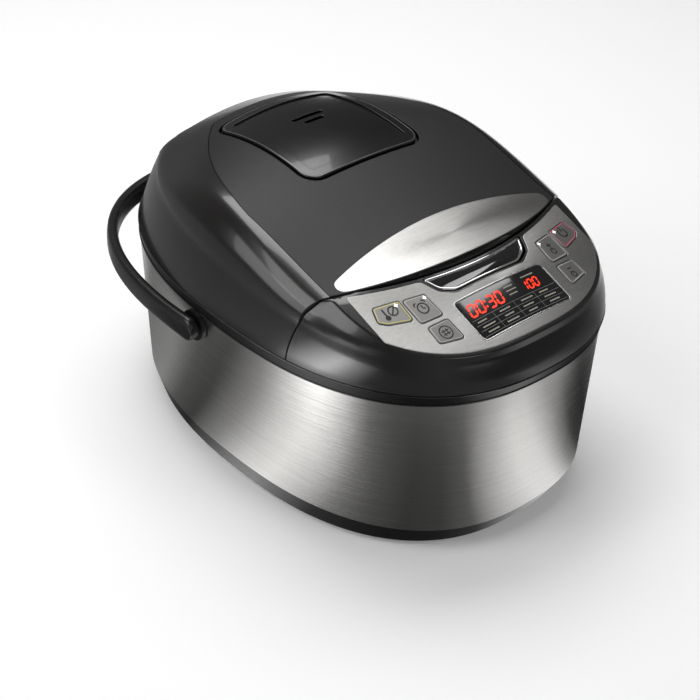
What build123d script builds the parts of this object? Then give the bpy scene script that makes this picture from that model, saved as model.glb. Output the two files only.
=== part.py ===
from build123d import *
from math import sin, cos, pi, copysign, sqrt, atan, radians
import os

# Countertop multicooker with a hinged lid, a carrying handle and a control console.
# Millimetres. +Z is up, the console faces -Y, and the origin is on the table below the pot's axis.

# ---- plan of the body: an egg-shaped oval, widest at WIDE_Y ----
SIDE = 145.0            # half-width at the gap line under the lid
FRONT = 179.0           # reach of the gap line in front of its widest point
BACK = 212.0            # reach of the gap line behind its widest point
WIDE_Y = -27.0          # where the body is widest
FRONT_POWER = 2.43      # fullness of the oval's front half
BACK_POWER = 2.3        # fullness of the oval's back half
SHOULDER_POWER = 2.65   # the shoulder edge is fuller at the front than the body
OVAL_POINTS = 32
SKY = 280.0             # above everything
WIDE = 300.0            # beyond everything to the sides
UNDER_LID = 150.0       # below the lid's roof everywhere

# ---- heights of the stack ----
FOOT_H = 6.0
TRAY_H = 16.9
STEEL_H = 113.5
RING_H = 9.2
SHOULDER_H = 35.5       # from the gap line up to the shoulder edge, at WIDE_Y
SHOULDER_TILT = 0.09    # the shoulder edge climbs towards the back
LID_GAP = 0.5           # air between the top ring and what sits above it

TRAY_Z = FOOT_H
STEEL_Z = TRAY_Z + TRAY_H
RING_Z = STEEL_Z + STEEL_H
GAP_Z = RING_Z + RING_H
SHOULDER_Z = GAP_Z + SHOULDER_H

# ---- walls and fits ----
WALL = 2.6
STEEL_T = 0.8
FIT = 0.1               # slip fit between pieces of one body
MOVE_GAP = 0.4          # air between pieces that move past each other
RUN_FIT = 0.06          # radial clearance of a turning pin
DECK_T = 3.0
LIP_H = 6.0

# ---- pot, liner and heater ----
POT_R = 115.0
POT_WALL = 2.0
POT_RIM_R = 121.0
POT_RIM_T = 1.6
LINER_CLEAR = 1.5       # between the pot and its liner
LINER_T = 0.8
LINER_FLANGE_W = 6.0
LINER_LIFT = 5.5        # liner bottom above the tray floor
PLATE_R = 88.0
PLATE_T = 12.0
POST_H = 3.2
ELEMENT_R = 60.0
ELEMENT_ROD_R = 4.0
SENSOR_R = 14.0

# ---- lid ----
SEAM_Y = -125.5         # front point of the seam between lid and console
SEAM_R = 270.0
SEAM_GAP = 1.0
SEAM_GAP_LOW = 2.6      # the lid's front wall steps back below the hinge height
LID_BACK_Y = 133.0
LID_SKIN = 3.8          # vertical thickness of the roof of the lid shell
TOP_PANEL_T = 2.0
TRIM_T = 1.0
GROOVE_X = 115.0        # half-width of the matte top panel
GROOVE_TURN_Y = -10.0   # where the panel's sides start to close in
GROOVE_BACK_Y = 113.0
GROOVE_BACK_X = 48.0
TRIM_DEPTH = 45.0       # the trim plate's reach behind the seam on the centre line
TRIM_HALF_X = 108.0
TRIM_R = 520.0

# ---- steam vent ----
VENT_X = 57.0
VENT_FRONT_Y = -11.0
VENT_BACK_Y = 99.0
VENT_CORNER_R = 13.0
VENT_GROOVE = 2.5
VENT_T = 3.0
VENT_RISE = 0.6         # the vent frame stands this proud of the roof
WELL_DEPTH = 16.0

# ---- hinge ----
HINGE_Y = 151.0
HINGE_Z = GAP_Z + 26.4
PIN_R = 3.0
PIN_HALF = 56.0
KNUCKLE_R = 8.0
KNUCKLE_X = (28.0, 50.0)
COVER_BARREL_R = 15.5

# ---- console ----
CONSOLE_Z = GAP_Z + 40.9 # height of the console's middle line at CONSOLE_REF_Y
CONSOLE_REF_Y = -152.4
CONSOLE_SLOPE = 0.37
CONSOLE_CROWN = 746.0
PANEL_T = 1.0
PANEL_HALF_X = 108.0
PANEL_EDGE = 3.0        # margin between the shoulder edge and the silver panel
PANEL_SEAM = 3.0        # margin between the seam and the silver panel
DISPLAY_Y = (-183.0, -148.0)
DISPLAY_HALF_X = 45.0
GLASS_T = 1.8
KEY_T = 2.2
BOARD_DROP = 14.0
BOARD_T = 1.6
BUTTON_HALF_X = 50.0
BUTTON_DEPTH = 15.0
BUTTON_BOTTOM = 4.6     # underside of the release button below the console's top
BUTTON_TRAVEL = 3.0
KEY_TRAVEL = 0.6
SWITCH_H = 3.8
STEM_CLEAR = 1.3        # between the pressed stem and the hook, whose nose rises as it turns
HOOK_H = 18.5

# ---- carrying handle ----
PIVOT_Y = 11.0
PIVOT_Z = RING_Z - 10.4
HANDLE_REACH = 190.5    # from the pivot to the middle of the cross bar
HANDLE_POWER = 2.45
STRAP_T = 9.0
STRAP_H = 18.0
STRAP_CLEAR = 2.6       # between the gap line's side and the inside of the strap
HUB_R = 9.6
PIVOT_R = 4.0
PIVOT_NUT_R = 7.5

# ---- rear fittings ----
INLET_X = 0.0
INLET_Z = STEEL_Z + 27.1
CUP_HALF_X = 26.0
CUP_Z = RING_Z - 50.4
CUP_H = 26.0
CUP_DEPTH = 15.0


# ================= shared geometry =================

def level(side_in, front_in, back_in, z, tilt=0.0, power=FRONT_POWER):
    """One oval of the stack, given by how far it lies inside the gap line."""
    return (SIDE - side_in, FRONT - front_in, BACK - back_in, z, tilt, power)


BASE = level(13.5, 10.0, 17.0, TRAY_Z)
STEEL_LOW = level(8.2, 0.5, 10.0, STEEL_Z)
STEEL_HIGH = level(0.5, 2.0, 1.0, RING_Z)
GAP = level(0.0, 0.0, 0.0, GAP_Z)
SHOULDER = level(7.3, 10.0, 22.0, SHOULDER_Z, SHOULDER_TILT, SHOULDER_POWER)


def steel_level(z):
    """The steel wall's oval at height z, between its bottom and its top."""
    share = (z - STEEL_Z) / STEEL_H
    low, high = STEEL_LOW, STEEL_HIGH
    return tuple(a + (b - a) * share for a, b in zip(low[:3], high[:3])) + (z, 0.0, FRONT_POWER)


def moved(lv, inset=0.0, lift=0.0):
    return (lv[0] - inset, lv[1] - inset, lv[2] - inset, lv[3] + lift, lv[4], lv[5])


def oval(lv):
    """Closed smooth wire of a level: a superellipse with its own front and back."""
    side, front, back, z, tilt, front_power = lv
    points = []
    for i in range(OVAL_POINTS):
        angle = 2 * pi * i / OVAL_POINTS
        power = 2 / (front_power if sin(angle) < 0 else BACK_POWER)
        reach = front if sin(angle) < 0 else back
        x = copysign(abs(cos(angle)) ** power, cos(angle)) * side
        y = copysign(abs(sin(angle)) ** power, sin(angle)) * reach
        points.append(Vector(x, WIDE_Y + y, z + tilt * y))
    return Wire([Edge.make_spline(points, periodic=True)])


def tower(levels):
    """Solid through a stack of ovals."""
    return Solid.make_loft([oval(lv) for lv in levels], ruled=True)


def prism(face, low, high):
    """A plan outline turned into a solid between two heights."""
    return extrude(Location((0, 0, low)) * face, high - low, dir=(0, 0, 1))


def box(x0, x1, y0, y1, z0, z1):
    return Location(((x0 + x1) / 2, (y0 + y1) / 2, (z0 + z1) / 2)) * Box(x1 - x0, y1 - y0, z1 - z0)


def rod(radius, start, end):
    """Cylinder from one point to another."""
    axis = Vector(*end) - Vector(*start)
    return Solid.make_cylinder(radius, axis.length, Plane(origin=start, z_dir=axis))


def tube(outer, inner, z0, z1, x=0.0, y=0.0):
    return rod(outer, (x, y, z0), (x, y, z1)) - rod(inner, (x, y, z0 - 1), (x, y, z1 + 1))


def coil(radius, wire_r, pitch, height, location):
    """Helical spring standing on its location's plane."""
    path = Edge.make_helix(pitch, height, radius)
    section = Plane(origin=path @ 0, z_dir=path % 0) * Circle(wire_r)
    return location * sweep(section, path=path)


def rounded_quad(points, radius):
    """Flat outline with straight sides and rounded corners."""
    face = make_face(Polyline(*points, close=True))
    return fillet(face.vertices(), radius)


def behind_seam(gap):
    """Everything on the lid's side of the seam, that far from it."""
    centre_y = SEAM_Y + SEAM_R
    disc = rod(SEAM_R - gap, (0, centre_y, 0), (0, centre_y, SKY))
    return disc


def console_under(drop=0.0):
    """Everything below the console's sloping, slightly crowned top, lowered by drop along its normal."""
    rise = atan(CONSOLE_SLOPE)
    top = Vector(0, CONSOLE_REF_Y, CONSOLE_Z)
    along = Vector(0, cos(rise), sin(rise))
    normal = Vector(0, -sin(rise), cos(rise))
    start = top - normal * CONSOLE_CROWN - along * 200
    return Solid.make_cylinder(CONSOLE_CROWN - drop, 400, Plane(origin=start, z_dir=along))


def console_plane(x, y, drop=0.0):
    """Frame on the console's top at plan point x, y, with +Z along the outward normal."""
    rise = atan(CONSOLE_SLOPE)
    z = CONSOLE_Z + CONSOLE_SLOPE * (y - CONSOLE_REF_Y) - x * x / (2 * CONSOLE_CROWN * cos(rise))
    tilt = x / CONSOLE_CROWN
    normal = Vector(sin(tilt), -sin(rise) * cos(tilt), cos(rise) * cos(tilt))
    place = Vector(x, y, z) - normal * drop
    return Plane(origin=place, x_dir=(cos(tilt), 0, -sin(tilt)), z_dir=normal)


# Stations of the lid's roof: distance behind the widest line, height on the centre line and at
# the groove above the shoulder edge's height at the widest line, and the groove's half-width there
# as a share of the shoulder's. They were set for a body that reaches ROOF_FRONT and ROOF_BACK.
ROOF_FRONT = 179.0
ROOF_BACK = 212.0
ROOF_STATIONS = (
    (-112.0, 19.7, 5.4, 0.93),
    (-60.0, 28.2, 16.4, 0.86),
    (-8.0, 40.9, 30.9, 0.84),
    (40.0, 51.4, 40.4, 0.82),
    (92.0, 52.9, 38.4, 0.78),
    (135.0, 44.4, 29.9, 0.76),
    (168.0, 30.4, 20.9, 0.88),
)

# The ring between groove and shoulder edge: share of its width, and how far it has dropped there.
RING_PROFILE = ((0.42, 0.1), (0.85, 0.5))
EDGE_LIP = 0.8          # upright lip where the roof meets the shoulder edge
ROOF_OVERHANG = 2.5     # the roof surface runs on this far past the edge, so that it cuts cleanly
ROOF_LEDGE = 5.0
ROOF_LEDGE_W = 40.0


def shoulder_half_width(reach):
    """Half-width of the shoulder oval at a distance behind (or before) the widest line."""
    side, front, back, _, _, front_power = SHOULDER
    span, power = (front, front_power) if reach < 0 else (back, BACK_POWER)
    return side * (1 - (abs(reach) / span) ** power) ** (1 / power)


def roof_under(drop=0.0):
    """Everything below the lid's roof, which is lofted through its stations."""
    sections = []
    floor_z = GAP_Z - 12
    for station, crest, groove, share in ROOF_STATIONS:
        reach = station * (BACK / ROOF_BACK if station > 0 else FRONT / ROOF_FRONT)
        edge_x, edge_z = shoulder_half_width(reach), SHOULDER_TILT * reach + EDGE_LIP
        groove_x = edge_x * share
        half = [(groove_x * 0.5, crest - (crest - groove) * 0.27), (groove_x, groove)]
        for out, down in RING_PROFILE:
            half.append((groove_x + (edge_x - groove_x) * out, groove - (groove - edge_z) * down))
        half += [(edge_x, edge_z), (edge_x + ROOF_OVERHANG, edge_z - ROOF_LEDGE)]
        points = [(-x, z) for x, z in reversed(half)] + [(0, crest)] + half
        base_z = SHOULDER_Z - drop
        y = WIDE_Y + reach
        top = Edge.make_spline([Vector(x, y, z + base_z) for x, z in points])
        side_x, side_z = edge_x + ROOF_LEDGE_W, edge_z + base_z - ROOF_LEDGE - 1
        outline = [(side_x, side_z), (side_x, floor_z), (-side_x, floor_z), (-side_x, side_z)]
        ends = [top @ 1] + [Vector(x, y, z) for x, z in outline] + [top @ 0]
        lines = [Edge.make_line(a, b) for a, b in zip(ends, ends[1:])]
        sections.append(Wire([top] + lines))
    return Solid.make_loft(sections)


def lid_plan(inset=0.0, sink=0.0):
    """The lid's side band and the space above it, inside the shoulder."""
    low = moved(GAP, inset, LID_GAP - sink)
    edge = moved(SHOULDER, inset)
    return tower([low, edge, moved(edge, 0, 70)])


def groove_outline(inset=0.0):
    """Plan outline of the matte top panel: straight sides that close in towards the vent's back."""
    x, back_x = GROOVE_X - inset, GROOVE_BACK_X - inset
    front_y, turn_y, back_y = SEAM_Y - 20, GROOVE_TURN_Y, GROOVE_BACK_Y - inset
    knee = (x * 0.81, turn_y + (back_y - turn_y) * 0.58)
    right = Edge.make_spline(
        [Vector(x, turn_y, 0), Vector(*knee, 0), Vector(back_x, back_y, 0)],
        tangents=[(0, 1, 0), (-0.75, 0.66, 0)],
    )
    left = right.mirror(Plane.YZ)
    corners = [Vector(-x, turn_y, 0), Vector(-x, front_y, 0), Vector(x, front_y, 0), Vector(x, turn_y, 0)]
    lines = [Edge.make_line(a, b) for a, b in zip(corners, corners[1:])]
    back = Edge.make_line(Vector(-back_x, back_y, 0), Vector(back_x, back_y, 0))
    return Face(Wire([left, right, back] + lines))


def vent_outline(grow=0.0):
    mid_y = (VENT_FRONT_Y + VENT_BACK_Y) / 2
    length = VENT_BACK_Y - VENT_FRONT_Y
    plan = RectangleRounded(2 * (VENT_X + grow), length + 2 * grow, VENT_CORNER_R + grow)
    return Location((0, mid_y)) * plan


def trim_outline(inset=0.0):
    """Plan outline of the trim plate: seam arc in front, flatter arc behind, short ends."""
    apex_y = SEAM_Y + TRIM_DEPTH - inset
    disc = Location((0, apex_y - TRIM_R)) * Circle(TRIM_R)
    seam_disc = Location((0, SEAM_Y + SEAM_R)) * Circle(SEAM_R - SEAM_GAP - 1.5 - inset)
    strip = Location((0, SEAM_Y)) * Rectangle(2 * (TRIM_HALF_X - inset), 200)
    plan = seam_disc & disc & strip
    return fillet(plan.vertices(), 5)


def panel_outline(inset=0.0):
    """Plan outline of the silver console panel."""
    edge = moved(SHOULDER, PANEL_EDGE + inset)
    flat = Face(oval(edge[:3] + (0.0, 0.0, edge[5])))
    centre_y = SEAM_Y + SEAM_R
    front = Location((0, centre_y - SEAM_R - 150)) * Rectangle(2 * (PANEL_HALF_X - inset), 300)
    seam_disc = Location((0, centre_y)) * Circle(SEAM_R + PANEL_SEAM + inset)
    plan = (flat & front) - seam_disc
    return plan


def button_outline(grow=0.0):
    """Boat-shaped plan of the release button's recess, open to the seam."""
    back_y = SEAM_Y + 8
    front_y = SEAM_Y - BUTTON_DEPTH
    half = BUTTON_HALF_X
    points = [(-half - 2, back_y), (half + 2, back_y), (half - 6, front_y + 6), (half - 18, front_y),
              (-half + 18, front_y), (-half + 6, front_y + 6)]
    face = make_face(Polyline(*points, close=True))
    face = fillet(face.vertices().sort_by(Axis.Y)[:4], 5)
    return offset(face, grow, kind=Kind.INTERSECTION) if grow else face


def display_outline(grow=0.0):
    y0, y1 = DISPLAY_Y
    plan = RectangleRounded(2 * (DISPLAY_HALF_X + grow), y1 - y0 + 2 * grow, 4 + grow)
    return Location((0, (y0 + y1) / 2)) * plan


def key_outlines(grow=0.0):
    """Plan outlines of the six keys by name, placed by x and distance before the seam's apex."""
    quad_back = [(-10, -11), (9.8, -9), (9.5, 12), (-9, 8.5)]
    quad_front = [(-9.5, -10), (10.2, -5), (9.2, 9), (-9, 8)]
    corner = [(-10.2, -13.3), (8, -7), (13.4, -2), (9.4, 9), (-11.4, 4.3)]
    layout = {
        "key_cancel": (-88.5, 6.5, -1, corner),
        "key_timer": (-66.0, 15.5, -1, quad_back),
        "key_menu": (-65.0, 38.0, -1, quad_front),
        "key_start": (88.5, 6.5, 1, corner),
        "key_hour": (66.0, 15.5, 1, quad_back),
        "key_minute": (65.0, 38.0, 1, quad_front),
    }
    outlines = {}
    for name, (x, y, hand, points) in layout.items():
        face = rounded_quad([(x + hand * px, SEAM_Y - y + py) for px, py in points], 2.4)
        outlines[name] = offset(face, grow) if grow else face
    return outlines


KEY_SPOTS = {name: face.center() for name, face in key_outlines().items()}


# ================= base and body =================

FEET = [(sx * 84.0, y) for sx in (-1, 1) for y in (WIDE_Y - 105.0, WIDE_Y + 125.0)]
SCREWS = [(sx * x, y) for sx in (-1, 1) for x, y in ((97.0, WIDE_Y - 62.0), (102.0, WIDE_Y + 100.0))]
FLOOR_TOP = TRAY_Z + WALL


def base_tray():
    tray = tower([BASE, STEEL_LOW]) - tower([moved(BASE, WALL, WALL), moved(STEEL_LOW, WALL)])
    lip_low, lip_high = moved(STEEL_LOW, STEEL_T + FIT), moved(steel_level(STEEL_Z + LIP_H), STEEL_T + FIT)
    lip = tower([lip_low, lip_high]) - tower([moved(lip_low, WALL - STEEL_T), moved(lip_high, WALL - STEEL_T)])
    tray += lip
    for x, y in SCREWS:
        tray += rod(5, (x, y, FLOOR_TOP - 0.5), (x, y, FLOOR_TOP + 14))
        tray -= rod(1.7, (x, y, TRAY_Z - 1), (x, y, FLOOR_TOP + 16))
        tray -= rod(3.4, (x, y, TRAY_Z - 1), (x, y, FLOOR_TOP + 2))
    for x, y in FEET:
        tray -= rod(3 + FIT, (x, y, TRAY_Z - 1), (x, y, FLOOR_TOP + 1))
    for i in range(-3, 4):
        for y in (WIDE_Y + 10, WIDE_Y + 60):
            tray -= box(i * 14 - 2.5, i * 14 + 2.5, y - 18, y + 18, TRAY_Z - 1, FLOOR_TOP + 1)
    return tray


def rubber_feet():
    feet = []
    for x, y in FEET:
        pad = rod(10, (x, y, 0), (x, y, FOOT_H))
        pad = chamfer(pad.edges().sort_by(Axis.Z)[0], 1)
        feet.append(pad + rod(3, (x, y, FOOT_H), (x, y, FLOOR_TOP)))
    return Compound(feet)


def base_screws():
    screws = []
    for x, y in SCREWS:
        shank = rod(1.6, (x, y, TRAY_Z + 1.6), (x, y, FLOOR_TOP + 12))
        head = rod(3.1, (x, y, TRAY_Z + 0.6), (x, y, FLOOR_TOP + 1.9))
        screws.append(shank + head)
    return Compound(screws)


def outer_shell():
    shell = tower([STEEL_LOW, STEEL_HIGH]) - tower([moved(STEEL_LOW, STEEL_T), moved(STEEL_HIGH, STEEL_T)])
    shell -= rod(PIVOT_R + FIT, (-SIDE - 20, PIVOT_Y, PIVOT_Z), (SIDE + 20, PIVOT_Y, PIVOT_Z))
    back = WIDE_Y + BACK
    shell -= box(INLET_X - 17, INLET_X + 17, back - 60, back + 5, INLET_Z - 13, INLET_Z + 13)
    return shell


LINER_R = POT_R + LINER_CLEAR
DECK_TOP = RING_Z + DECK_T


RING_SCREWS = [(sx * x, y) for sx in (-1, 1)
               for x, y in ((108.0, SEAM_Y + 7.5), (30.0, WIDE_Y - FRONT + 16.5))]


def top_ring():
    band = tower([STEEL_HIGH, GAP]) - tower([moved(STEEL_HIGH, 3), moved(GAP, 3)])
    deck = prism(Face(oval(moved(STEEL_HIGH, 2.5)[:3] + (0.0, 0.0, FRONT_POWER))), RING_Z, DECK_TOP)
    low, high = moved(steel_level(RING_Z - LIP_H), STEEL_T + FIT), moved(STEEL_HIGH, STEEL_T + FIT)
    lip = tower([low, high]) - tower([moved(low, 2), moved(high, 2)])
    ring = band + deck + lip
    ring -= rod(LINER_R + LINER_T + 0.5, (0, 0, RING_Z - 5), (0, 0, DECK_TOP + 5))
    ring -= rod(PIVOT_NUT_R + 0.6, (-SIDE - 20, PIVOT_Y, PIVOT_Z), (SIDE + 20, PIVOT_Y, PIVOT_Z))
    wires_y = SEAM_Y - 42
    ring -= box(-20, 20, wires_y - 6, wires_y + 6, RING_Z - 1, DECK_TOP + 1)
    for x, y in RING_SCREWS:
        ring -= rod(1.8, (x, y, RING_Z - 1), (x, y, DECK_TOP + 1))
    return ring


LINER_Z = FLOOR_TOP + LINER_LIFT
POST_R = 70.0
TERMINALS = [(sx * 12.0, -ELEMENT_R + 1.5) for sx in (-1, 1)]


def inner_liner():
    liner = tube(LINER_R + LINER_T, LINER_R, LINER_Z, DECK_TOP)
    liner += rod(LINER_R + LINER_T, (0, 0, LINER_Z), (0, 0, LINER_Z + LINER_T))
    liner += tube(LINER_R + LINER_FLANGE_W, LINER_R, DECK_TOP, DECK_TOP + LINER_T)
    for x, y in TERMINALS:
        liner -= rod(5, (x, y, LINER_Z - 1), (x, y, LINER_Z + 2))
    return liner


PLATE_Z = LINER_Z + LINER_T + POST_H
PLATE_TOP = PLATE_Z + PLATE_T


def plate_posts():
    posts = []
    for i in range(3):
        angle = radians(30 + 120 * i)
        x, y = POST_R * cos(angle), POST_R * sin(angle)
        posts.append(rod(5, (x, y, LINER_Z + LINER_T), (x, y, PLATE_Z)))
    return Compound(posts)


def heating_plate():
    plate = rod(PLATE_R, (0, 0, PLATE_Z), (0, 0, PLATE_TOP))
    plate = chamfer(plate.edges().sort_by(Axis.Z)[-1], 2)
    plate -= rod(SENSOR_R + 3.5, (0, 0, PLATE_Z - 1), (0, 0, PLATE_TOP + 1))
    plate -= Location((0, 0, PLATE_Z + 3)) * Torus(ELEMENT_R, ELEMENT_ROD_R + 0.05)
    plate -= box(-20, 20, -ELEMENT_R - 4.1, -ELEMENT_R + 8, PLATE_Z - 1, PLATE_Z + 8)
    return plate


def heating_element():
    ring = Location((0, 0, PLATE_Z + 3)) * Torus(ELEMENT_R, ELEMENT_ROD_R)
    ring -= box(-12, 12, -ELEMENT_R - 6, -ELEMENT_R + 9, PLATE_Z - 4, PLATE_Z + 9)
    for x, y in TERMINALS:
        ring += rod(3, (x, y, LINER_Z - 3), (x, y, PLATE_Z + 3))
    return ring


SENSOR_TOP = PLATE_TOP - 0.3
SENSOR_LOW = LINER_Z + LINER_T + 4.5


def pot_sensor():
    cap = rod(SENSOR_R, (0, 0, SENSOR_LOW), (0, 0, SENSOR_TOP))
    cap -= rod(SENSOR_R - 1, (0, 0, SENSOR_LOW - 1), (0, 0, SENSOR_TOP - 1.2))
    return cap


def sensor_guide():
    return tube(SENSOR_R + 1.5, SENSOR_R + RUN_FIT, LINER_Z + LINER_T, LINER_Z + LINER_T + 11)


def sensor_spring():
    base = LINER_Z + LINER_T
    height = SENSOR_TOP - 1.2 - base - 2.4
    return coil(8.0, 0.7, height / 4, height, Location((0, 0, base + 1.2)))


POT_RIM_Z = DECK_TOP + LINER_T + 1.0


def inner_pot():
    """Drawn aluminium pot with a rolled flat rim, resting on the heating plate."""
    corner = 10.0
    inner_r, inner_corner = POT_R - POT_WALL, corner - POT_WALL
    top = POT_RIM_Z + POT_RIM_T
    with BuildPart() as pot:
        with BuildSketch(Plane.XZ):
            with BuildLine():
                Line((0, PLATE_TOP), (POT_R - corner, PLATE_TOP))
                RadiusArc((POT_R - corner, PLATE_TOP), (POT_R, PLATE_TOP + corner), -corner)
                Line((POT_R, PLATE_TOP + corner), (POT_R, POT_RIM_Z))
                Line((POT_R, POT_RIM_Z), (POT_RIM_R, POT_RIM_Z))
                Line((POT_RIM_R, POT_RIM_Z), (POT_RIM_R, top))
                Line((POT_RIM_R, top), (inner_r, top))
                Line((inner_r, top), (inner_r, PLATE_TOP + corner))
                inner_floor = PLATE_TOP + POT_WALL
                RadiusArc((inner_r, PLATE_TOP + corner), (POT_R - corner, inner_floor), inner_corner)
                Line((POT_R - corner, inner_floor), (0, inner_floor))
                Line((0, inner_floor), (0, PLATE_TOP))
            make_face()
        revolve(axis=Axis.Z)
    return pot.part


# ================= console =================

CONSOLE_LOW = GAP_Z + LID_GAP


def console_envelope(inset=0.0, drop=0.0, sink=0.0):
    """The console's outside, shrunk by inset at its sides and drop at its top."""
    edge = moved(SHOULDER, inset)
    stack = [moved(GAP, inset, LID_GAP - sink), edge, moved(edge, 2.2, 7), moved(edge, 16, 24)]
    return (tower(stack) & console_under(drop)) - behind_seam(-inset)


def console_housing():
    body = console_envelope() - console_envelope(WALL, PANEL_T + 2.4, 5)
    body -= prism(panel_outline(-FIT), CONSOLE_LOW, SKY) - console_under(PANEL_T)
    body -= prism(display_outline(FIT), CONSOLE_LOW, SKY)
    for outline in key_outlines(MOVE_GAP).values():
        body -= prism(outline, CONSOLE_LOW, SKY)
    body -= prism(button_outline(1.2), CONSOLE_LOW + 22, SKY)
    for x, y in RING_SCREWS:
        boss = rod(4.0, (x, y, DECK_TOP), (x, y, SKY)) & console_under(PANEL_T + 0.5)
        body += boss - rod(1.4, (x, y, DECK_TOP - 1), (x, y, DECK_TOP + 14))
    return body


def console_screws():
    screws = []
    for x, y in RING_SCREWS:
        head = rod(3, (x, y, RING_Z - 2), (x, y, RING_Z))
        screws.append(rod(1.35, (x, y, RING_Z), (x, y, DECK_TOP + 12)) + head)
    return Compound(screws)


def console_panel():
    sheet = prism(panel_outline(), CONSOLE_LOW, SKY) & (console_under() - console_under(PANEL_T))
    sheet -= prism(display_outline(FIT), CONSOLE_LOW, SKY)
    for outline in key_outlines(MOVE_GAP).values():
        sheet -= prism(outline, CONSOLE_LOW, SKY)
    return sheet - prism(button_outline(2.4), CONSOLE_LOW, SKY)


def display_window():
    return prism(display_outline(), CONSOLE_LOW, SKY) & (console_under(0.2) - console_under(0.2 + GLASS_T))


def display_module():
    y0, y1 = DISPLAY_Y
    plane = console_plane(0, (y0 + y1) / 2, 0.2 + GLASS_T + 1.2)
    return plane * (Location((0, 0, -3.5)) * Box(2 * DISPLAY_HALF_X - 6, y1 - y0 - 9, 7))


def control_board():
    """Printed board that follows the console's slope below the keys and the display."""
    plane = console_plane(0, -155.0, BOARD_DROP)
    board = plane * (Location((0, 0, -BOARD_T / 2)) * Box(204, 50, BOARD_T))
    edge = moved(SHOULDER, WALL + 4)
    board &= prism(Face(oval(edge[:3] + (0.0, 0.0, edge[5]))), CONSOLE_LOW, SKY)
    for x, y in RING_SCREWS:
        board -= rod(5.2, (x, y, CONSOLE_LOW), (x, y, SKY))
    return board - prism(button_outline(2), CONSOLE_LOW, SKY)


def tact_switches():
    """Six small switches on the board, one below each key."""
    board = console_plane(0, -155.0, BOARD_DROP)
    switches = []
    for spot in KEY_SPOTS.values():
        local = board.to_local_coords(Vector(spot.X, spot.Y, console_plane(spot.X, spot.Y).origin.Z))
        switches.append(board * (Location((local.X, local.Y, SWITCH_H / 2)) * Box(6, 6, SWITCH_H)))
    return Compound(switches)


def board_top_z(y):
    return CONSOLE_Z + CONSOLE_SLOPE * (y - CONSOLE_REF_Y) - BOARD_DROP / cos(atan(CONSOLE_SLOPE))


def key(name):
    """A key cap, flush with the panel, with a plunger down to its switch."""
    cap = prism(key_outlines()[name], CONSOLE_LOW, SKY) & (console_under(0.1) - console_under(KEY_T))
    spot = KEY_SPOTS[name]
    plunger_r = 2.2
    rise = atan(CONSOLE_SLOPE)
    low = board_top_z(spot.Y) + (SWITCH_H + KEY_TRAVEL) / cos(rise) + (plunger_r + 3) * CONSOLE_SLOPE
    return cap + (rod(plunger_r, (spot.X, spot.Y, low), (spot.X, spot.Y, SKY)) & console_under(KEY_T))


def release_button():
    """Wide glossy push bar in its recess, with a stem down to the hook."""
    cap = prism(button_outline(0.0), CONSOLE_LOW, SKY) & (console_under(0.6) - console_under(BUTTON_BOTTOM))
    return cap - behind_seam(-1.6)


STEM_Y = SEAM_Y - 11.0


def button_stem():
    low = HOOK_Z + HOOK_H + BUTTON_TRAVEL + STEM_CLEAR
    return rod(3, (0, STEM_Y, low), (0, STEM_Y, low + 20)) & console_under(BUTTON_BOTTOM)


HOOK_Y = SEAM_Y - 11.0
HOOK_Z = GAP_Z + 14.0


def latch_frame():
    """Bracket on the deck with a guide for the button's stem and the hook's two ears."""
    base = box(-22, 22, HOOK_Y - 11, HOOK_Y + 5, DECK_TOP, DECK_TOP + 2)
    for sx in (-1, 1):
        x0, x1 = sorted((sx * 12, sx * 15))
        base += box(x0, x1, HOOK_Y - 6, HOOK_Y + 5, DECK_TOP + 2, HOOK_Z + 5)
    return base - rod(2.0, (-30, HOOK_Y, HOOK_Z), (30, HOOK_Y, HOOK_Z))


def latch_pin():
    return rod(2.0, (-17, HOOK_Y, HOOK_Z), (17, HOOK_Y, HOOK_Z))


def latch_hook():
    """Rocker with a nose that reaches over the lid's catch when the lid is shut."""
    hook = rod(5, (-10, HOOK_Y, HOOK_Z), (10, HOOK_Y, HOOK_Z))
    hook += box(-8, 8, HOOK_Y - 2, HOOK_Y + 2.5, HOOK_Z, HOOK_Z + HOOK_H)
    hook += box(-8, 8, HOOK_Y + 2, SEAM_Y + SEAM_GAP - 6.7, HOOK_Z + HOOK_H - 3, HOOK_Z + HOOK_H)
    return hook - rod(2.0 + RUN_FIT, (-30, HOOK_Y, HOOK_Z), (30, HOOK_Y, HOOK_Z))


def button_spring():
    top = console_plane(0, STEM_Y, BUTTON_BOTTOM).origin.Z - CONSOLE_SLOPE * 5.2
    height, turns = 6.2, 3
    return coil(4.0, 0.4, height / turns, height, Location((0, STEM_Y, top - height - 0.6)))


# ================= lid =================

def lid_region(gap=0.0, back_in=0.0):
    """Space behind the seam and in front of the lid's back wall, with the stepped front wall."""
    high = behind_seam(SEAM_GAP + gap) & box(-WIDE, WIDE, -WIDE, WIDE, HINGE_Z - 2, SKY)
    low = behind_seam(SEAM_GAP_LOW + gap) & box(-WIDE, WIDE, -WIDE, WIDE, 0, HINGE_Z - 2)
    return (high + low) & box(-WIDE, WIDE, -WIDE, LID_BACK_Y - back_in, 0, SKY)


def lid_shell():
    """Glossy outer lid: side band, shoulder ring and the bed that the top panel lies in."""
    outer = lid_plan() & roof_under() & lid_region()
    inner = lid_plan(WALL, 6) & roof_under(LID_SKIN) & lid_region(WALL, WALL)
    shell = outer - inner
    shell -= prism(groove_outline(), UNDER_LID, SKY) - roof_under(TOP_PANEL_T)
    shell -= prism(vent_outline(VENT_GROOVE - 1), UNDER_LID, SKY)
    return shell - lid_catch()


def lid_top_panel():
    skin = roof_under() - roof_under(TOP_PANEL_T)
    panel = prism(groove_outline(0.25), UNDER_LID, SKY) & skin & lid_region()
    panel -= prism(vent_outline(VENT_GROOVE), UNDER_LID, SKY)
    return panel - (prism(trim_outline(-FIT), UNDER_LID, SKY) - roof_under(TRIM_T))


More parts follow.
